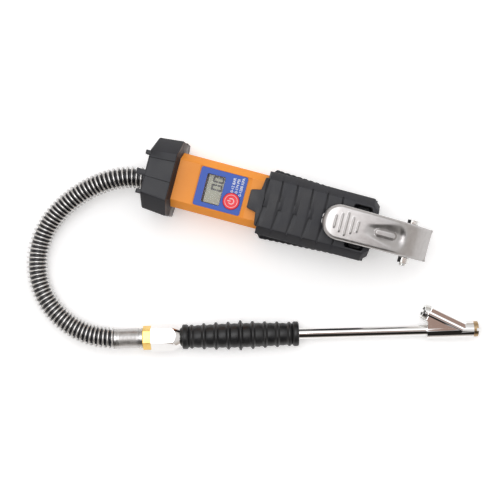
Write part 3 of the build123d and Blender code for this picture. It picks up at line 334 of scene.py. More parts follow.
ZINC = finish(
    "zinc_plate", (0.80, 0.80, 0.78), (0.66, 0.66, 0.64), (0.18, 0.32), 900, 1e-5,
    patch=300, metal=1.0,
)
CHROME = finish(
    "chrome_plate", (0.86, 0.85, 0.84), (0.80, 0.79, 0.78), (0.04, 0.09), 300, 2e-6,
    patch=60, metal=1.0,
)
BRASS = finish(
    "turned_brass", (0.86, 0.60, 0.20), (0.74, 0.48, 0.13), (0.16, 0.30), 900, 6e-6,
    patch=200, metal=1.0,
)
AGED_BRASS = finish(
    "aged_brass", (0.50, 0.36, 0.20), (0.38, 0.26, 0.15), (0.22, 0.36), 900, 8e-6,
    patch=400, metal=1.0,
)
STEEL = finish(
    "satin_steel", (0.62, 0.61, 0.60), (0.50, 0.49, 0.48), (0.26, 0.40), 1200, 8e-6,
    patch=250, metal=1.0,
)
SPRING_STEEL = finish(
    "guard_wire", (0.74, 0.73, 0.72), (0.58, 0.57, 0.56), (0.16, 0.30), 900, 8e-6,
    patch=300, metal=1.0,
)
DARK_STEEL = finish(
    "black_oxide", (0.09, 0.09, 0.095), (0.06, 0.06, 0.065), (0.35, 0.50), 1500, 1e-5,
    metal=1.0,
)
HOSE_RUBBER = finish(
    "hose_rubber", (0.016, 0.017, 0.022), (0.008, 0.008, 0.010), (0.22, 0.34), 1500, 2e-5,
    patch=150,
)
SOFT_BLACK = finish("seal_rubber", (0.030, 0.030, 0.030), (0.020, 0.020, 0.020), (0.50, 0.65), 1500, 2e-5)
BOARD_GREEN = finish("board_green", (0.035, 0.22, 0.085), (0.022, 0.16, 0.060), (0.30, 0.45), 1500, 1e-5)
CELL_WRAP = finish("cell_wrap", (0.11, 0.11, 0.13), (0.07, 0.07, 0.09), (0.25, 0.35), 900, 5e-6)
CLEAR = finish("clear_window", (0.92, 0.94, 0.94), (0.90, 0.92, 0.92), (0.03, 0.05), 200, 1e-7, Alpha=0.05)

# the CAD nodes whose shape is right keep it and get a finish
KEPT = {
    CAST_BODY: ["valve_body"],
    ZINC: ["inlet_filter", "battery_contacts", "pressure_sensor"],
    DARK_STEEL: ["case_screws", "battery_cover_screw", "board_screws"],
    STEEL: ["inflate_stem", "deflate_stem", "straight_poppet", "angled_poppet", "tail_ferrule"],
    BRASS: ["stem_glands", "chamber_plugs", "outlet_fitting", "hose_tail", "air_tube"],
    SOFT_BLACK: [
        "inflate_seal", "deflate_seal", "sensor_seal", "straight_seal", "angled_seal", "coupling_washer",
        "tact_switch",
    ],
    BOARD_GREEN: ["circuit_board"],
    CELL_WRAP: ["batteries"],
    CLEAR: ["lcd_window"],
    CHROME: ["lance_tube"],
    ORANGE: ["battery_cover"],
}
for kept_finish, names in KEPT.items():
    for name in names:
        kept = frame["nodes"][name]
        kept.data.materials.clear()
        kept.data.materials.append(kept_finish)


# ----------------------------------------------------------- camera, floor, light
ROLL = math.radians(14.85)
IMAGE_RIGHT = Vector((math.cos(ROLL), math.sin(ROLL), 0))
IMAGE_UP = Vector((-math.sin(ROLL), math.cos(ROLL), 0))
AIM = HANDLE @ Vector((74.6, -40.7, 0))
EYE = HANDLE @ Vector((74.6, -13.7, 850))
VIEW_WIDTH = 0.420            # of the bench, through the aim point
DOME_LOW, DOME_HIGH = (0.52, 0.46, 0.41), (0.80, 0.785, 0.77)
ZENITH = (1.50, 1.51, 1.55)
BROWN_SPOT = (0.40, 0.28, 0.235)
DARK_PATCH = (0.020, 0.018, 0.016)
DARK_PATCH_TILT = math.radians(44)
CARD_PLACE, CARD_WIDE, CARD_HIGH, CARD_WATTS = (-40, 40, 880), 420, 580, 1.9
FLOOR_HALF, FLOOR_THICK, FLOOR_GLOW = 2500, 10, 0.30


def put_camera():
    """A long lens almost straight above the bench."""
    look = (AIM - EYE).normalized()
    right = (IMAGE_RIGHT - look * IMAGE_RIGHT.dot(look)).normalized()
    data = bpy.data.cameras.new("camera")
    data.lens = data.sensor_width * (AIM - EYE).length / VIEW_WIDTH
    camera = bpy.data.objects.new("camera", data)
    bpy.context.scene.collection.objects.link(camera)
    turn = Matrix((right, right.cross(look), -look)).transposed().to_4x4()
    camera.matrix_world = Matrix.Translation(EYE) @ turn
    bpy.context.scene.camera = camera


def area_light(name, place, wide, high, watts):
    """A rectangular lamp at a point of the handle's frame, facing down."""
    data = bpy.data.lights.new(name, "AREA")
    data.shape = "RECTANGLE"
    data.size = wide * MM
    data.size_y = high * MM
    data.energy = watts
    lamp = bpy.data.objects.new(name, data)
    bpy.context.scene.collection.objects.link(lamp)
    lamp.location = HANDLE @ Vector(place)


def light_room():
    """A dome that metal reflects: bright overhead round a brown spot, dimmer low down, dark on one side."""
    world = bpy.data.worlds.new("studio")
    bpy.context.scene.world = world
    world.use_nodes = True
    nodes, links = world.node_tree.nodes, world.node_tree.links
    way = nodes.new("ShaderNodeTexCoord")

    def nearness(toward, far, near):
        """0 further than far degrees from a direction, 1 nearer than near."""
        dot = nodes.new("ShaderNodeVectorMath")
        dot.operation = "DOT_PRODUCT"
        dot.inputs[1].default_value = toward.normalized()
        links.new(way.outputs["Generated"], dot.inputs[0])
        fade = nodes.new("ShaderNodeMapRange")
        fade.interpolation_type = "SMOOTHSTEP"
        fade.inputs["From Min"].default_value = math.cos(math.radians(far))
        fade.inputs["From Max"].default_value = math.cos(math.radians(near))
        links.new(dot.outputs["Value"], fade.inputs["Value"])
        return fade.outputs["Result"]

    def mixed(factor, low, high):
        mix = nodes.new("ShaderNodeMix")
        mix.data_type = "RGBA"
        links.new(factor, mix.inputs["Factor"])
        for value, socket in ((low, mix.inputs["A"]), (high, mix.inputs["B"])):
            if isinstance(value, tuple):
                socket.default_value = (*value, 1)
            else:
                links.new(value, socket)
        return mix.outputs["Result"]

    up = Vector((0, 0, 1))
    dome = mixed(nearness(up, 88, 58), DOME_LOW, DOME_HIGH)
    dome = mixed(nearness(up + IMAGE_UP * 0.20, 36, 24), dome, ZENITH)
    dome = mixed(nearness(up + IMAGE_RIGHT * 0.13 - IMAGE_UP * 0.02, 13, 9), dome, BROWN_SPOT)
    patch = up * math.cos(DARK_PATCH_TILT) - IMAGE_UP * math.sin(DARK_PATCH_TILT)
    dome = mixed(nearness(patch, 36, 28), dome, DARK_PATCH)
    links.new(dome, nodes["Background"].inputs["Color"])
    nodes["Background"].inputs["Strength"].default_value = 1.0
    area_light("card", CARD_PLACE, CARD_WIDE, CARD_HIGH, CARD_WATTS)


def put_floor():
    outline = box_outline(-FLOOR_HALF, FLOOR_HALF, -FLOOR_HALF, FLOOR_HALF)
    floor = plate("floor", outline, -FLOOR_THICK, 0, HANDLE)
    paper = finish("pale_paper", (0.93, 0.93, 0.93), (0.92, 0.92, 0.92), (0.85, 0.9), 300, 1e-5, patch=3)
    shader = paper.node_tree.nodes["Principled BSDF"]
    shader.inputs["Emission Color"].default_value = (1, 1, 1, 1)
    shader.inputs["Emission Strength"].default_value = FLOOR_GLOW
    floor.data.materials.append(paper)


bpy.context.scene.view_settings.view_transform = "Standard"
put_camera()
light_room()
put_floor()


# ----------------------------------------------------------------- more makers
def upright(x, y, z=0.0):
    """A frame whose x axis stands up from a point of the handle's frame."""
    return HANDLE @ Matrix.Translation((x, y, z)) @ Matrix.Rotation(-math.pi / 2, 4, "Y")


def eased_copy(node, width, segments=2, name=None):
    """A copy of a CAD node with whole flats and rounded edges."""
    mesh = frame["nodes"][node].data.copy()
    shape = bmesh.new()
    shape.from_mesh(mesh)
    bmesh.ops.remove_doubles(shape, verts=shape.verts, dist=2e-6)
    bmesh.ops.dissolve_limit(shape, angle_limit=math.radians(1), verts=shape.verts, edges=shape.edges)
    shape.to_mesh(mesh)
    shape.free()
    piece = bpy.data.objects.new(name or node + "_eased", mesh)
    bpy.context.scene.collection.objects.link(piece)
    return ease(piece, width, segments)


def bar_along(name, path, radius, at, sides=8):
    """A round bar along a path of points."""
    turns = [2 * math.pi * k / sides for k in range(sides)]
    normal = (path[1] - path[0]).orthogonal()
    rings = []
    for i, here in enumerate(path):
        along = (path[min(i + 1, len(path) - 1)] - path[max(i - 1, 0)]).normalized()
        normal = (normal - along * normal.dot(along)).normalized()
        side = along.cross(normal)
        rings.append([here + (normal * math.cos(a) + side * math.sin(a)) * radius for a in turns])
    return skin(name, rings, at)


def joined(first, others):
    """Several apart pieces as one."""
    shape = bmesh.new()
    for piece in [first] + others:
        shape.from_mesh(piece.data)
    shape.to_mesh(first.data)
    shape.free()
    for piece in others:
        bpy.data.objects.remove(piece)
    return first


def coil(name, start, end, radius, wire, turns, at, steps=24):
    """A compression spring about the frame's x axis, its end turns closed."""
    path = []
    dead = 1.0
    rise = end - start - wire
    for k in range(int((turns + 2 * dead) * steps) + 1):
        turn = k / steps
        live = min(max((turn - dead) / turns, 0), 1)
        flat = wire * (min(turn, dead) + max(turn - dead - turns, 0)) / dead
        x = start + wire / 2 + flat + live * (rise - 2 * wire)
        a = 2 * math.pi * turn
        path.append(Vector((x, radius * math.cos(a), radius * math.sin(a))))
    return bar_along(name, path, wire / 2, at)


# ------------------------------------------------------------- hose and its guard
HOSE_EXIT = (-9.0, -5.0, 24.0)
HOSE_ROUTE = [
    HOSE_EXIT, (-27.0, -5.0, 24.0), (-47.5, -11.5, 22.2), (-69.0, -26.5, 17.2), (-87.5, -49.5, 12.3),
    (-96.3, -74.5, 9.6), (-94.0, -100.0, 9.35), (-82.0, -121.7, 9.7), (-61.8, -136.6, 11.2),
    (-39.8, -142.9, 13.4),
]
HOSE_END = [(-2.7, 0, 0), (8.95, 0, 0)]
HOSE_R = 6.75
FERRULE_LIP = 8.95            # the hose goes this far into the lance's ferrule
TAIL_COVER = 9.0              # and this much of it is under the handle's ferrule
GUARD_COIL_R = 8.4
GUARD_WIRE_R = 0.85
GUARD_PITCH = 3.6
GUARD_STEPS = 24              # points in each turn of the wire


def lay_hose():
    curve = bpy.data.curves.new("air_hose_line", "CURVE")
    curve.dimensions = "3D"
    line = curve.splines.new("NURBS")
    route = [HANDLE @ Vector(p) for p in HOSE_ROUTE] + [LANCE @ Vector(p) for p in HOSE_END]
    line.points.add(len(route) - 1)
    for point, place in zip(line.points, route):
        point.co = (*place, 1)
    line.order_u = 3
    line.use_endpoint_u = True
    line.resolution_u = 24
    hose = bpy.data.objects.new("rubber_hose", curve)
    bpy.context.scene.collection.objects.link(hose)
    bpy.context.view_layer.update()
    graph = bpy.context.evaluated_depsgraph_get()
    sampled = bpy.data.meshes.new_from_object(hose.evaluated_get(graph))
    path = [v.co.copy() for v in sampled.vertices]
    curve.bevel_depth = HOSE_R * MM
    curve.bevel_resolution = 6
    curve.use_fill_caps = True
    return hose, path


def guard_on(path):
    """The wire coil round the hose, wound along the hose's own line."""
    reach = [0.0]
    for a, b in zip(path, path[1:]):
        reach.append(reach[-1] + (b - a).length)
    start, end = TAIL_COVER * MM, reach[-1] - FERRULE_LIP * MM
    turns = (end - start) / (GUARD_PITCH * MM)
    steps = int(turns * GUARD_STEPS)
    wire = []
    normal = Vector((0, 0, 1))
    i = 0
    for k in range(steps + 1):
        s = start + (end - start) * k / steps
        while i < len(reach) - 2 and reach[i + 1] < s:
            i += 1
        along = (path[i + 1] - path[i]).normalized()
        here = path[i] + along * (s - reach[i])
        normal = (normal - along * normal.dot(along)).normalized()
        a = 2 * math.pi * turns * k / steps
        out = normal * math.cos(a) + along.cross(normal) * math.sin(a)
        wire.append(here + out * GUARD_COIL_R * MM)
    return bar_along("guard_coil", wire, GUARD_WIRE_R * MM, Matrix.Identity(4))


hose, hose_path = lay_hose()
hose.data.materials.append(HOSE_RUBBER)
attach(hose, "handle")
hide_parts("air_hose")
guard = dress(guard_on(hose_path), SPRING_STEEL, instead_of=("spring_guard",), smooth=60)

# ------------------------------------------------------------------ front bumper
BUMPER_X0, BUMPER_X1, RIM_X = -20.6, 5.3, 1.3
BUMPER_LEFT, BUMPER_RIGHT = 28.6, 30.4
BUMPER_FLAT = 19.0
BUMPER_MIDDLE = 30.4
CASE_HALF_Y, CASE_HALF_Z, CASE_CORNER = 21.9, 20.0, 5.7
HOSE_HOLE = (-5.0, 24.0, 11.75)
# the face's overlapping plates: a place across the face and the rise there
PLATES = [(17.2, 0.15), (12.9, 0.9), (12.5, 0.0), (-3.8, 0.9), (-4.2, 0.0), (-18.0, 0.9), (-18.4, 0.0)]


def plated_outline(half_y, half_z, corner, rise, easing):
    """An octagon whose four main sides carry the plates, raised on the face and sunk on the others."""
    corners = corner_cut(half_y, half_z, corner, BUMPER_MIDDLE)
    steps = 3
    eased = eased_outline(corners, easing, steps)
    points = []
    for i in range(8):
        points += eased[i * (steps + 1):(i + 1) * (steps + 1)]
        if i % 2 == 0:
            continue
        start, end = Vector(corners[i]), Vector(corners[(i + 1) % 8])
        middle, half = (start + end) / 2, (end - start) / 2
        out = Vector((half.y, -half.x)).normalized()
        out = out if out.dot(middle - Vector((0, BUMPER_MIDDLE))) > 0 else -out
        for t, height in PLATES:
            lift = rise * (height if i == 1 else height - 0.9)
            points.append(tuple(middle - half * (t / BUMPER_FLAT) + out * lift))
    return points


def bumper_ring(x, inset, rise):
    t = (x - BUMPER_X0) / (BUMPER_X1 - BUMPER_X0)
    half = BUMPER_LEFT + (BUMPER_RIGHT - BUMPER_LEFT) * t - inset
    return plated_outline(half, half, BUMPER_RIGHT - BUMPER_FLAT - inset * 0.4, rise, 1.3)


def make_bumper():
    def rim(z):
        return BUMPER_X1 - (BUMPER_X1 - RIM_X) * min(max((z - BUMPER_MIDDLE - 11) / 12, 0), 1)

    def left(y, z):
        """How far the left face is cut back towards its corners."""
        reach = max(abs(y), abs(z - BUMPER_MIDDLE) * 0.6)
        return 0.36 * max(reach - 19.5, 0)

    rings = [
        [(x + left(y, z) * max(1 - (x - BUMPER_X0) / 8, 0), y, z) for y, z in bumper_ring(x, inset, rise)]
        for x, inset, rise in (
            (BUMPER_X0, 1.5, 0.4), (BUMPER_X0 + 0.35, 0.5, 0.8), (BUMPER_X0 + 1.2, 0, 1), (-8, 0, 1),
        )
    ]
    edge = bumper_ring(BUMPER_X1, 0, 1)
    rings.append([(rim(z) - 0.8, y, z) for y, z in edge])
    rings.append([(rim(z) - 0.2, y, z) for y, z in bumper_ring(BUMPER_X1, 0.35, 1)])
    rings.append([(rim(z), y, z) for y, z in bumper_ring(BUMPER_X1, 1.1, 1)])
    case = plated_outline(CASE_HALF_Y, CASE_HALF_Z, CASE_CORNER, 0, 0.5)
    lining = plated_outline(25.4, 24.4, 7.6, 0, 0.8)
    rings.append([(max(rim(z) - 0.6, RIM_X - 0.6), y, z) for y, z in lining])
    rings.append([(max(rim(z) + 0.4, 3.4), y, z) for y, z in case])
    rings.append([(-8, y, z) for y, z in case])
    hole_y, hole_z, hole_r = HOSE_HOLE
    ways = [Vector((y - hole_y, z - hole_z)).normalized() * hole_r for y, z in case]
    rings.append([(-8, hole_y + way.x, hole_z + way.y) for way in ways])
    rings.append([(BUMPER_X0, hole_y + way.x, hole_z + way.y) for way in ways])
    return skin("front_cap", rings, HANDLE, "looped")


def make_tab(name, low, high, out):
    """A short fin that stands out of the bumper's left face at its front edge."""
    outline = box_outline(BUMPER_X0 - out, BUMPER_X0 + 1.5, low, high)
    top = BUMPER_MIDDLE + BUMPER_LEFT
    return ease(plate(name, outline, top - 8, top + 0.7, HANDLE), 0.6, 3)


# each fin's two edges across the face, and how far it stands out
TABS = [(12.9, 16.5, 3.0), (-3.8, 1.0, 6.4), (-18.3, -14.7, 3.2)]
dress(make_bumper(), RUBBER, instead_of=("front_bumper",))
for number, (low, high, out) in enumerate(TABS):
    dress(make_tab(f"front_cap_tab_{number + 1}", low, high, out), RUBBER)

# --------------------------------------------------------- case, label, display
dress(eased_copy("front_shell", 0.45), ORANGE, instead_of=("front_shell",))
dress(eased_copy("rear_shell", 0.45), ORANGE, instead_of=("rear_shell",))
LABEL = (21.2, 59.1, -15.6, 15.6)
LABEL_Z = 49.7
LABEL_T = 0.5
CUT_LOW, CUT_TOP = 48, 52     # the cutters pass right through the label
WINDOW = (27.0, 41.8, -12.0, 11.2)
BUTTON = (50.3, -5.8)
BUTTON_R = 6.5
BUTTON_TOP, RING_TOP = 51.2, 51.16
MARK_LOW, MARK_TOP = 50.7, 50.97
MODULE, MODULE_LOW = (26.0, 42.8, -13.0, 12.2), 42.6
# the glass sits off-centre in the window, so the black module shows wider on the left: partly the display's
# black border, partly painted shade of the recess wall
GLASS, GLASS_LOW, GLASS_TOP = (28.6, 41.4, -11.4, 10.9), 46.0, 46.12
FIGURE_X, FIGURE_MIDDLES, FIGURE_TOP = 36.5, (8.1, 1.7), 46.2
POINT, POINT_R = (40.2, 4.9), 0.5


def make_label():
    outline = eased_outline(box_outline(*LABEL), 1.6)
    label = plate("label", outline, LABEL_Z, LABEL_Z + LABEL_T, HANDLE)
    window = plate("cut", eased_outline(box_outline(*WINDOW), 1.0), CUT_LOW, CUT_TOP, HANDLE)
    hole = plate("cut", circle_outline(*BUTTON, BUTTON_R + 0.3), CUT_LOW, CUT_TOP, HANDLE)
    return ease(combine(label, [window, hole], "DIFFERENCE"), 0.1, 1)


def make_display():
    """A black module with a grey-green glass and two figures."""
    module = plate("display_module", box_outline(*MODULE), MODULE_LOW, GLASS_LOW, HANDLE)
    dress(ease(module, 0.2), BEZEL_BLACK_AND_SHADE, instead_of=("lcd_module",))
    glass = plate("display_glass", eased_outline(box_outline(*GLASS), 0.6), GLASS_LOW, GLASS_TOP, HANDLE)
    dress(glass, DISPLAY)
    strokes = []
    tall, wide, bar = 4.5, 2.6, 1.5
    for middle_y in FIGURE_MIDDLES:
        for x0, x1, y0, y1 in (
            (-tall, -tall + bar, -wide + 0.5, wide - 0.5), (tall - bar, tall, -wide + 0.5, wide - 0.5),
            (-tall + 0.5, -0.25, wide - bar, wide), (0.25, tall - 0.5, wide - bar, wide),
            (-tall + 0.5, -0.25, -wide, -wide + bar), (0.25, tall - 0.5, -wide, -wide + bar),
        ):
            corners = box_outline(FIGURE_X + x0, FIGURE_X + x1, middle_y + y0, middle_y + y1)
            strokes.append(plate("stroke", eased_outline(corners, 0.4, 2), GLASS_TOP, FIGURE_TOP, HANDLE))
    point = plate("display_figures", circle_outline(*POINT, POINT_R, 16), GLASS_TOP, FIGURE_TOP, HANDLE)
    dress(joined(point, strokes), SEGMENTS)


def make_print():
    """Three ranges with their units, beside the button."""
    for text, x in (("0-12 BAR", 49.9), ("0-174 PSI", 53.3), ("0-1200 KPA", 56.7)):
        words = bpy.data.curves.new("unit_" + text, "FONT")
        words.body = text
        words.size = 3.0 * MM
        words.offset = 0.04 * MM
        words.extrude = 0.02 * MM
        words.align_x = "CENTER"
        piece = bpy.data.objects.new("unit_" + text, words)
        bpy.context.scene.collection.objects.link(piece)
        place = Matrix.Translation(HANDLE @ Vector((x, 7.0, 50.22)))
        piece.matrix_world = place @ Matrix.Rotation(math.pi / 2, 4, "Z")
        bpy.context.view_layer.update()
        graph = bpy.context.evaluated_depsgraph_get()
        mesh = bpy.data.meshes.new_from_object(piece.evaluated_get(graph))
        mesh.transform(piece.matrix_world)
        bpy.data.objects.remove(piece)
        solid = bpy.data.objects.new("unit_word_" + text.split()[1].lower(), mesh)
        bpy.context.scene.collection.objects.link(solid)
        dress(solid, LABEL_WHITE)


def make_button():
    profile = [
        (-4.3, 7.2), (-3.3, 7.2), (-3.3, 6.5), (-0.45, 6.5), (-0.18, 6.4), (-0.04, 6.1), (0, 5.7),
        (-0.1, 5.2), (-0.25, 3), (-0.3, 0.001),
    ]
    cap = turned("button_cap", [(-4.3, 0.001)] + profile, upright(*BUTTON, BUTTON_TOP))
    dress(cap, BUTTON_RED, "button", ("mode_button",))
    ring = [(-0.3, 4.75), (0.02, 4.75), (0.02, 5.1), (-0.3, 5.1)]
    marks = [turned("ring", ring, upright(*BUTTON, RING_TOP))]
    arc = []
    for r in (2.5, 1.8):
        sweep = [math.radians(40 + 280 * k / 20) for k in range(21)]
        sweep = sweep if r == 2.5 else sweep[::-1]
        arc += [(BUTTON[0] - r * math.cos(a), BUTTON[1] + r * math.sin(a)) for a in sweep]
    marks.append(plate("arc", arc, MARK_LOW, MARK_TOP, HANDLE))
    stem = box_outline(BUTTON[0] - 3.0, BUTTON[0] - 0.4, BUTTON[1] - 0.35, BUTTON[1] + 0.35)
    marks.append(plate("stem", stem, MARK_LOW, MARK_TOP, HANDLE))
    dress(joined(marks[0], marks[1:]), BUTTON_PRINT, "button")


dress(make_label(), LABEL_BLUE, instead_of=("label_panel",))
make_display()
make_print()
make_button()

# -------------------------------------------------------------------- grip boot
BOOT_TOP = 55.0
BOOT_TOP_HALF = 19.2
BOOT_HALF = 25.4
WING_HALF = 28.9
GROOVE_PITCH = 12.25
GROOVE_PAIRS = 6
VALVE_AXIS_Z = 24
COLLAR_R = 13.4
NECK_R = 11
# the well under the lever: start, how far short of x = 160 it stops, half width and height of each section
WELL = [(149.2, 1.2, 16.6, 40), (148.7, 1.0, 17.2, 41), (144.7, 0, 17.6, 55.01), (144.5, 0, 17.6, 57)]


def boot_ring(x):
    """The boot's section at x: flat front, chamfers, side wings and a flat back."""
    wing = BOOT_HALF + (WING_HALF - BOOT_HALF) * step_up(76, 80, x) * min(max((152 - x) / 72.5, 0), 1)
    knurl = 0.45 * max(0, math.sin(2 * math.pi * x / 5)) ** 0.5 if 82 < x < 150 else 0
    taper = max(x - 160, 0)
    half, top_half = BOOT_HALF - taper, BOOT_TOP_HALF - taper * 0.8
    wing = max(wing - knurl, half + 0.02)
    corners = [
        (top_half, BOOT_TOP), (half, BOOT_TOP - 6.2), (half, 25.6),
        (wing, 24.0), (wing, 8.4), (half - 6, 0.0),
    ]
    outline = corners + [(-y, z) for y, z in corners[::-1]]
    return eased_outline(outline, 1.1, 3)


def boot_end_ring(x, blend):
    """Between the boot's last section and its round collar."""
    points = []
    for y, z in boot_ring(165):
        way = Vector((y, z - VALVE_AXIS_Z)).normalized() * COLLAR_R
        points.append((x, y + (way.x - y) * blend, z + (VALVE_AXIS_Z + way.y - z) * blend))
    return points


def groove_cutter(x0, side):
    """A chevron groove on the boot's front, which widens away from the middle."""
    near, far = (3.4, 19.9) if side > 0 else (2.8, 19.9)
    shift = 0.0 if side > 0 else 0.5
    rows = []
    for y, wide in ((near, 1.3), (near + 0.9, 1.3), (far, 1.5)):
        x = x0 + shift - 0.095 * (y - 3)
        rows.append((x - wide / 2, x + wide / 2, side * y))
    outline = [(a, y) for a, b, y in rows] + [(b, y) for a, b, y in rows[::-1]]
    if side < 0:
        outline[-1:] = [(x0 + shift + 2.7, -near - 0.9), (x0 + shift + 2.7, -near)]
    return plate("groove", outline, BOOT_TOP - 2.3, BOOT_TOP + 1, HANDLE)


def make_boot():
    stations = [74.5, 75.0] + [76 + 0.625 * k for k in range(134)] + [160, 161, 163, 165]
    stations = sorted(set(round(x, 3) for x in stations))
    rings = []
    for x in stations:
        ring = boot_ring(x)
        if x == 74.5:
            ring = [(y * 0.985, 27 + (z - 27) * 0.985) for y, z in ring]
        rings.append([(x, y, z) for y, z in ring])
    for x, blend in ((165.3, 0.25), (165.8, 0.55), (166.8, 0.8), (168.3, 0.93), (170.4, 1.0), (171.0, 1.03)):
        rings.append(boot_end_ring(x, blend))
    boot = skin("boot", rings, HANDLE)
    tongue = [
        (63.3, -7.4), (71, -9.2), (72.4, -19.2), (76, -20.2),
        (76, 20.2), (72.4, 19.2), (71, 9.2), (63.3, 7.4),
    ]
    front = ease(plate("tongue", eased_outline(tongue, 1.2, 3), 50.4, BOOT_TOP, HANDLE), 0.7, 3)
    combine(boot, [front], "UNION")
    case = beam("cut", corner_cut(CASE_HALF_Y, CASE_HALF_Z, CASE_CORNER, BUMPER_MIDDLE), 60, 136, HANDLE)
    head = beam("cut", [(-18, 12.9), (18, 12.9), (18, 38), (-18, 38)], 135.5, 162, HANDLE)
    valve_axis = HANDLE @ Matrix.Translation((0, 0, VALVE_AXIS_Z))
    neck = turned("cut", [(160, 0.001), (160, NECK_R), (175, NECK_R), (175, 0.001)], valve_axis)
    sections = [
        [(x, y, z) for x, y in eased_outline(box_outline(x0, 160 - inset, -half, half), 2.0, 3)]
        for x0, inset, half, z in WELL
    ]
    well = skin("cut", sections, HANDLE)
    room = plate("cut", box_outline(147.5, 158.5, -11.5, 11.5), 37, 42, HANDLE)
    combine(boot, [case, head, neck, well, room], "DIFFERENCE")
    places = [75.4 + GROOVE_PITCH * k for k in range(GROOVE_PAIRS)]
    grooves = [groove_cutter(x, side) for x in places for side in (1, -1)]
    combine(boot, grooves, "DIFFERENCE")
    return ease(boot, 0.3, 2, 50)


dress(make_boot(), BOOT_RUBBER, instead_of=("grip_boot",))

# ------------------------------------------------------------------------ lever
LEVER_TIP = 122.6
LEVER_END = 211.9
LEVER_HALF = 13.9
LEVER_END_HALF = 13.0
THUMB_X = LEVER_TIP + LEVER_HALF
TOP_LINE = [
    (122.6, 65), (126.5, 66.5), (136, 67), (166, 66.2), (184, 63.2), (197, 55.5), (206, 46.5), (211.9, 39),
]
BASE_LINE = [
    (122.6, 62.4), (168, 59.2), (177, 57), (184, 42), (190, 35.8), (199, 35.8), (204, 40), (209.6, 37.8),
    (211.9, 39),
]
THUMB_RIBS = [(132.5, 10.8), (137.0, 15.1), (141.5, 19.0), (146.0, 13.9), (150.5, 9.0)]
PIVOT_X, PIVOT_Z, PIVOT_HOLE_R = 194.6, 43.0, 2.55
PIVOT = HANDLE @ Matrix.Translation((PIVOT_X, 0, PIVOT_Z)) @ Matrix.Rotation(math.pi / 2, 4, "Z")
LEVER_WALL = 2.2
LEVER_ROLL = 2.6              # the radius of the rolled edge
LEVER_COLUMNS = 74
PAD, PAD_LOW, PAD_TOP = (150, 156, -9, 9), 56, 64.2


def lever_half(x):
    if x < THUMB_X:
        return math.sqrt(max(LEVER_HALF ** 2 - (THUMB_X - x) ** 2, 0.15))
    return LEVER_HALF + (LEVER_END_HALF - LEVER_HALF) * (x - THUMB_X) / (LEVER_END - THUMB_X)


def straight_line(points, x):
    for (x0, z0), (x1, z1) in zip(points, points[1:]):
        if x <= x1:
            return z0 + (z1 - z0) * (x - x0) / (x1 - x0)
    return points[-1][1]


def lever_top(x, y):
    """The lever's skin: crowned, rolled at its edges, ribbed for the thumb and scooped before the pivot."""
    half = lever_half(x)
    z = through(TOP_LINE, x) - 0.5 * (y / half) ** 2
    edge = LEVER_HALF - math.hypot(THUMB_X - x, y) if x < THUMB_X else half - abs(y)
    inside = min(max(edge, 0), LEVER_ROLL)
    z -= LEVER_ROLL - math.sqrt(max(LEVER_ROLL ** 2 - (LEVER_ROLL - inside) ** 2, 0))
    for rib_x, length in THUMB_RIBS:
        across_rib = 1 - step_up(0.2, 1.0, abs(x - rib_x))
        along_rib = 1 - step_up(length / 2 - 1.2, length / 2, abs(y))
        z += 0.6 * across_rib * along_rib
    reach = 5.5 + 5.4 * step_up(158, 186, x)
    wall_x = 191.0 - 0.030 * y * y
    scoop = 2.7 * step_up(155, 172, x) * (1 - step_up(wall_x - 6.5, wall_x, x))
    scoop *= 1 - step_up(1.5, reach, abs(y))
    pill_gap = math.hypot(max(167.3 - x, 0, x - 178.9), y)
    return z - scoop * step_up(2.0, 3.4, pill_gap)


def make_lever():
    stations = [LEVER_TIP + LEVER_HALF * (1 - math.cos(math.radians(4 * k))) for k in range(1, 17)]
    last = stations[-1]
    count = int((LEVER_END - 0.2 - last) / 0.36)
    stations += [last + (LEVER_END - 0.2 - last) * (k + 1) / count for k in range(count)]
    rows = []
    for x in [LEVER_TIP + 0.02] + stations:
        half = lever_half(x)
        base = straight_line(BASE_LINE, x)
        over = []
        for k in range(LEVER_COLUMNS + 1):
            y = half * math.sin(math.pi * (k / LEVER_COLUMNS - 0.5))
            over.append((x, y, max(lever_top(x, y), base + 0.3)))
        heights = (0, 0.25, 0.5, 0.75)
        sides = [[(x, end[1], base + (end[2] - base) * t) for t in heights] for end in (over[0], over[-1])]
        rows.append(sides[0] + over + sides[1][::-1])
    count = len(rows[0])
    points = [p for row in rows for p in row]
    faces = [
        (i * count + k, i * count + k + 1, (i + 1) * count + k + 1, (i + 1) * count + k)
        for i in range(len(rows) - 1) for k in range(count - 1)
    ]
    shell = mesh_piece("lever_shell", points, faces, HANDLE)
    if sum(f.normal.z * f.area for f in shell.data.polygons) < 0:
        shell.data.flip_normals()
    step = shell.modifiers.new("wall", "SOLIDIFY")
    step.thickness = LEVER_WALL * MM
    step.offset = -1
    settle(shell)
    hole = turned("cut", [(-20, 0.001), (-20, PIVOT_HOLE_R), (20, PIVOT_HOLE_R), (20, 0.001)], PIVOT)
    return combine(shell, [hole], "DIFFERENCE")


dress(make_lever(), CAST, "lever", ("lever",), smooth=40)
pad = ease(plate("lever_pad", box_outline(*PAD), PAD_LOW, PAD_TOP, HANDLE), 0.4)
dress(pad, CAST, "lever")

# ----------------------------------------------------- hex pieces, lance and chuck
for node, width, material, slot, body in (
    ("pivot_bolt", 0.4, ZINC, "zinc_steel", "handle"), ("pivot_nut", 0.5, ZINC, "zinc_steel", "handle"),
    ("hose_insert", 0.5, BRASS, "brass", "handle"), ("hex_coupling", 0.5, CHROME, "chrome", "handle"),
    ("straight_collar", 0.25, AGED_BRASS, "brass", "handle"),
    ("angled_collar", 0.25, ZINC, "zinc_steel", "handle"),
):
    dress(eased_copy(node, width, 3), material, body, (node,), smooth=14)


BRANCH_TURN = 27.2
BRANCH_START = (288.0, 0.0)
WEB_REACH, WEB_HALF_WIDE = 31.2, 5.7
WEB_LOW, WEB_TOP = 4.8, 7.2


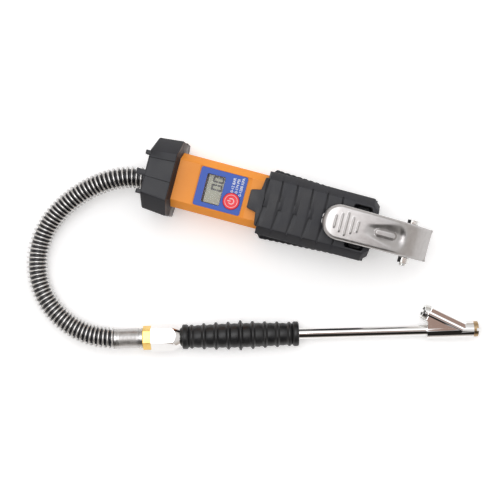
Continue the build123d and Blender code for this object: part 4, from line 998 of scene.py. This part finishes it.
def make_chuck():
    """The CAD's chuck, with flat plates over the web between its two barrels."""
    turn = math.radians(BRANCH_TURN)
    along, across_it = (-math.cos(turn), math.sin(turn)), (math.sin(turn), math.cos(turn))

    def on_branch(distance, offset):
        return tuple(start + distance * a + offset * b for start, a, b in zip(BRANCH_START, along, across_it))

    outline = [
        (258.7, 1.0), (291.0, 1.0), on_branch(0, WEB_HALF_WIDE), on_branch(WEB_REACH, WEB_HALF_WIDE),
        on_branch(WEB_REACH, -WEB_HALF_WIDE), (258.7, 7.0),
    ]
    sides = ((WEB_LOW, WEB_TOP), (-WEB_TOP, -WEB_LOW))
    faces = [ease(plate("web", outline, low, high, LANCE), 0.6, 3) for low, high in sides]
    return joined(eased_copy("chuck_body", 0.5, 3, name="chuck"), faces)


dress(make_chuck(), CHROME, "handle", ("chuck_body",), smooth=14)


def make_ferrule():
    profile = [(0, 6.85), (0, 8.0), (0.35, 8.35), (2.2, 8.35), (2.5, 7.95), (3.1, 7.95), (3.4, 8.3)]
    for k in range(14):
        s = 4.0 + 1.1 * k
        profile += [(s, 8.32), (s + 0.55, 8.12), (s + 0.8, 8.12)]
    profile += [(19.8, 8.35), (20.6, 8.35), (20.9, 7.7), (21.6, 7.7), (21.9, 8.3), (23.3, 8.3), (23.65, 7.95)]
    profile += [(23.65, 4.05), (9.0, 4.05), (9.0, 6.85)]
    return turned("hose_end_ferrule", profile, LANCE)


RING_RISES = [0.35, 0.9, 1.15, 1.1, 0, 1.1, 0.7, 0.7, 0.5]


def make_grip():
    start, length = 56.1, 96.5
    middle = start + length / 2

    def barrel(s):
        return 8.8 + 1.3 * math.cos(math.pi * (s - middle) / length)

    profile = [
        (start + 0.05, 4.7), (start + 0.05, 9.2), (start + 0.4, 9.9), (start + 1.3, 10.3),
        (start + 3.8, 10.3), (start + 4.7, 9.8), (start + 5.4, 8.6), (start + 6.4, 7.6),
        (start + 7.8, 7.7), (start + 8.8, 8.5),
    ]
    for k, rise in enumerate(RING_RISES):
        s = middle + 10.1 * (k - 4)
        top = 12.5 if k == 4 else barrel(s) + rise + 0.5
        low = barrel(s) - 0.5
        if k > 0:
            profile += [(s - 5.05, barrel(s - 5.05) + 0.1)]
        profile += [
            (s - 2.2, low + 0.15), (s - 1.5, low + 0.35 * (top - low)), (s - 1.0, low + 0.82 * (top - low)),
            (s - 0.5, top), (s + 0.5, top), (s + 1.0, low + 0.82 * (top - low)),
            (s + 1.5, low + 0.35 * (top - low)), (s + 2.2, low + 0.15),
        ]
    end = start + length
    profile += [
        (end - 8.8, 8.5), (end - 7.8, 7.7), (end - 6.4, 7.6), (end - 5.4, 8.6), (end - 4.7, 9.8),
        (end - 3.8, 10.3), (end - 1.3, 10.3), (end - 0.4, 9.9), (end - 0.05, 9.2), (end - 0.05, 4.7),
    ]
    return turned("grip_sleeve", profile, LANCE, 96)


dress(make_ferrule(), STEEL, instead_of=("hose_ferrule",))
dress(make_grip(), GRIP_RUBBER, instead_of=("lance_grip",))

# ---------------------------------------------------------------------- springs
VALVE_COIL_R, VALVE_WIRE, VALVE_TURNS, VALVE_KEEP = 3.55, 0.8, 4, 0.49
CHECK_COIL_R, CHECK_WIRE, CHECK_TURNS, CHECK_KEEP = 3.0, 0.7, 3, 0.6
CHECK_START, CHECK_END = -18, -12.9
for side in ("inflate", "deflate"):
    low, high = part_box(side + "_spring")
    middle = (low + high) / 2
    place = HANDLE.inverted() @ Vector((middle.x, middle.y, low.z))
    height = (high.z - low.z) / MM
    spring = coil(side + "_coil", 0, height, VALVE_COIL_R, VALVE_WIRE, VALVE_TURNS, upright(*place))
    dress(spring, SPRING_STEEL, "handle", (side + "_spring",), smooth=60)
    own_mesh(spring)
for side, mouth in (("straight", STRAIGHT_MOUTH), ("angled", ANGLED_MOUTH)):
    spring = coil(side + "_coil", CHECK_START, CHECK_END, CHECK_COIL_R, CHECK_WIRE, CHECK_TURNS, mouth)
    dress(spring, SPRING_STEEL, "handle", (side + "_spring",), smooth=60)
    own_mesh(spring)
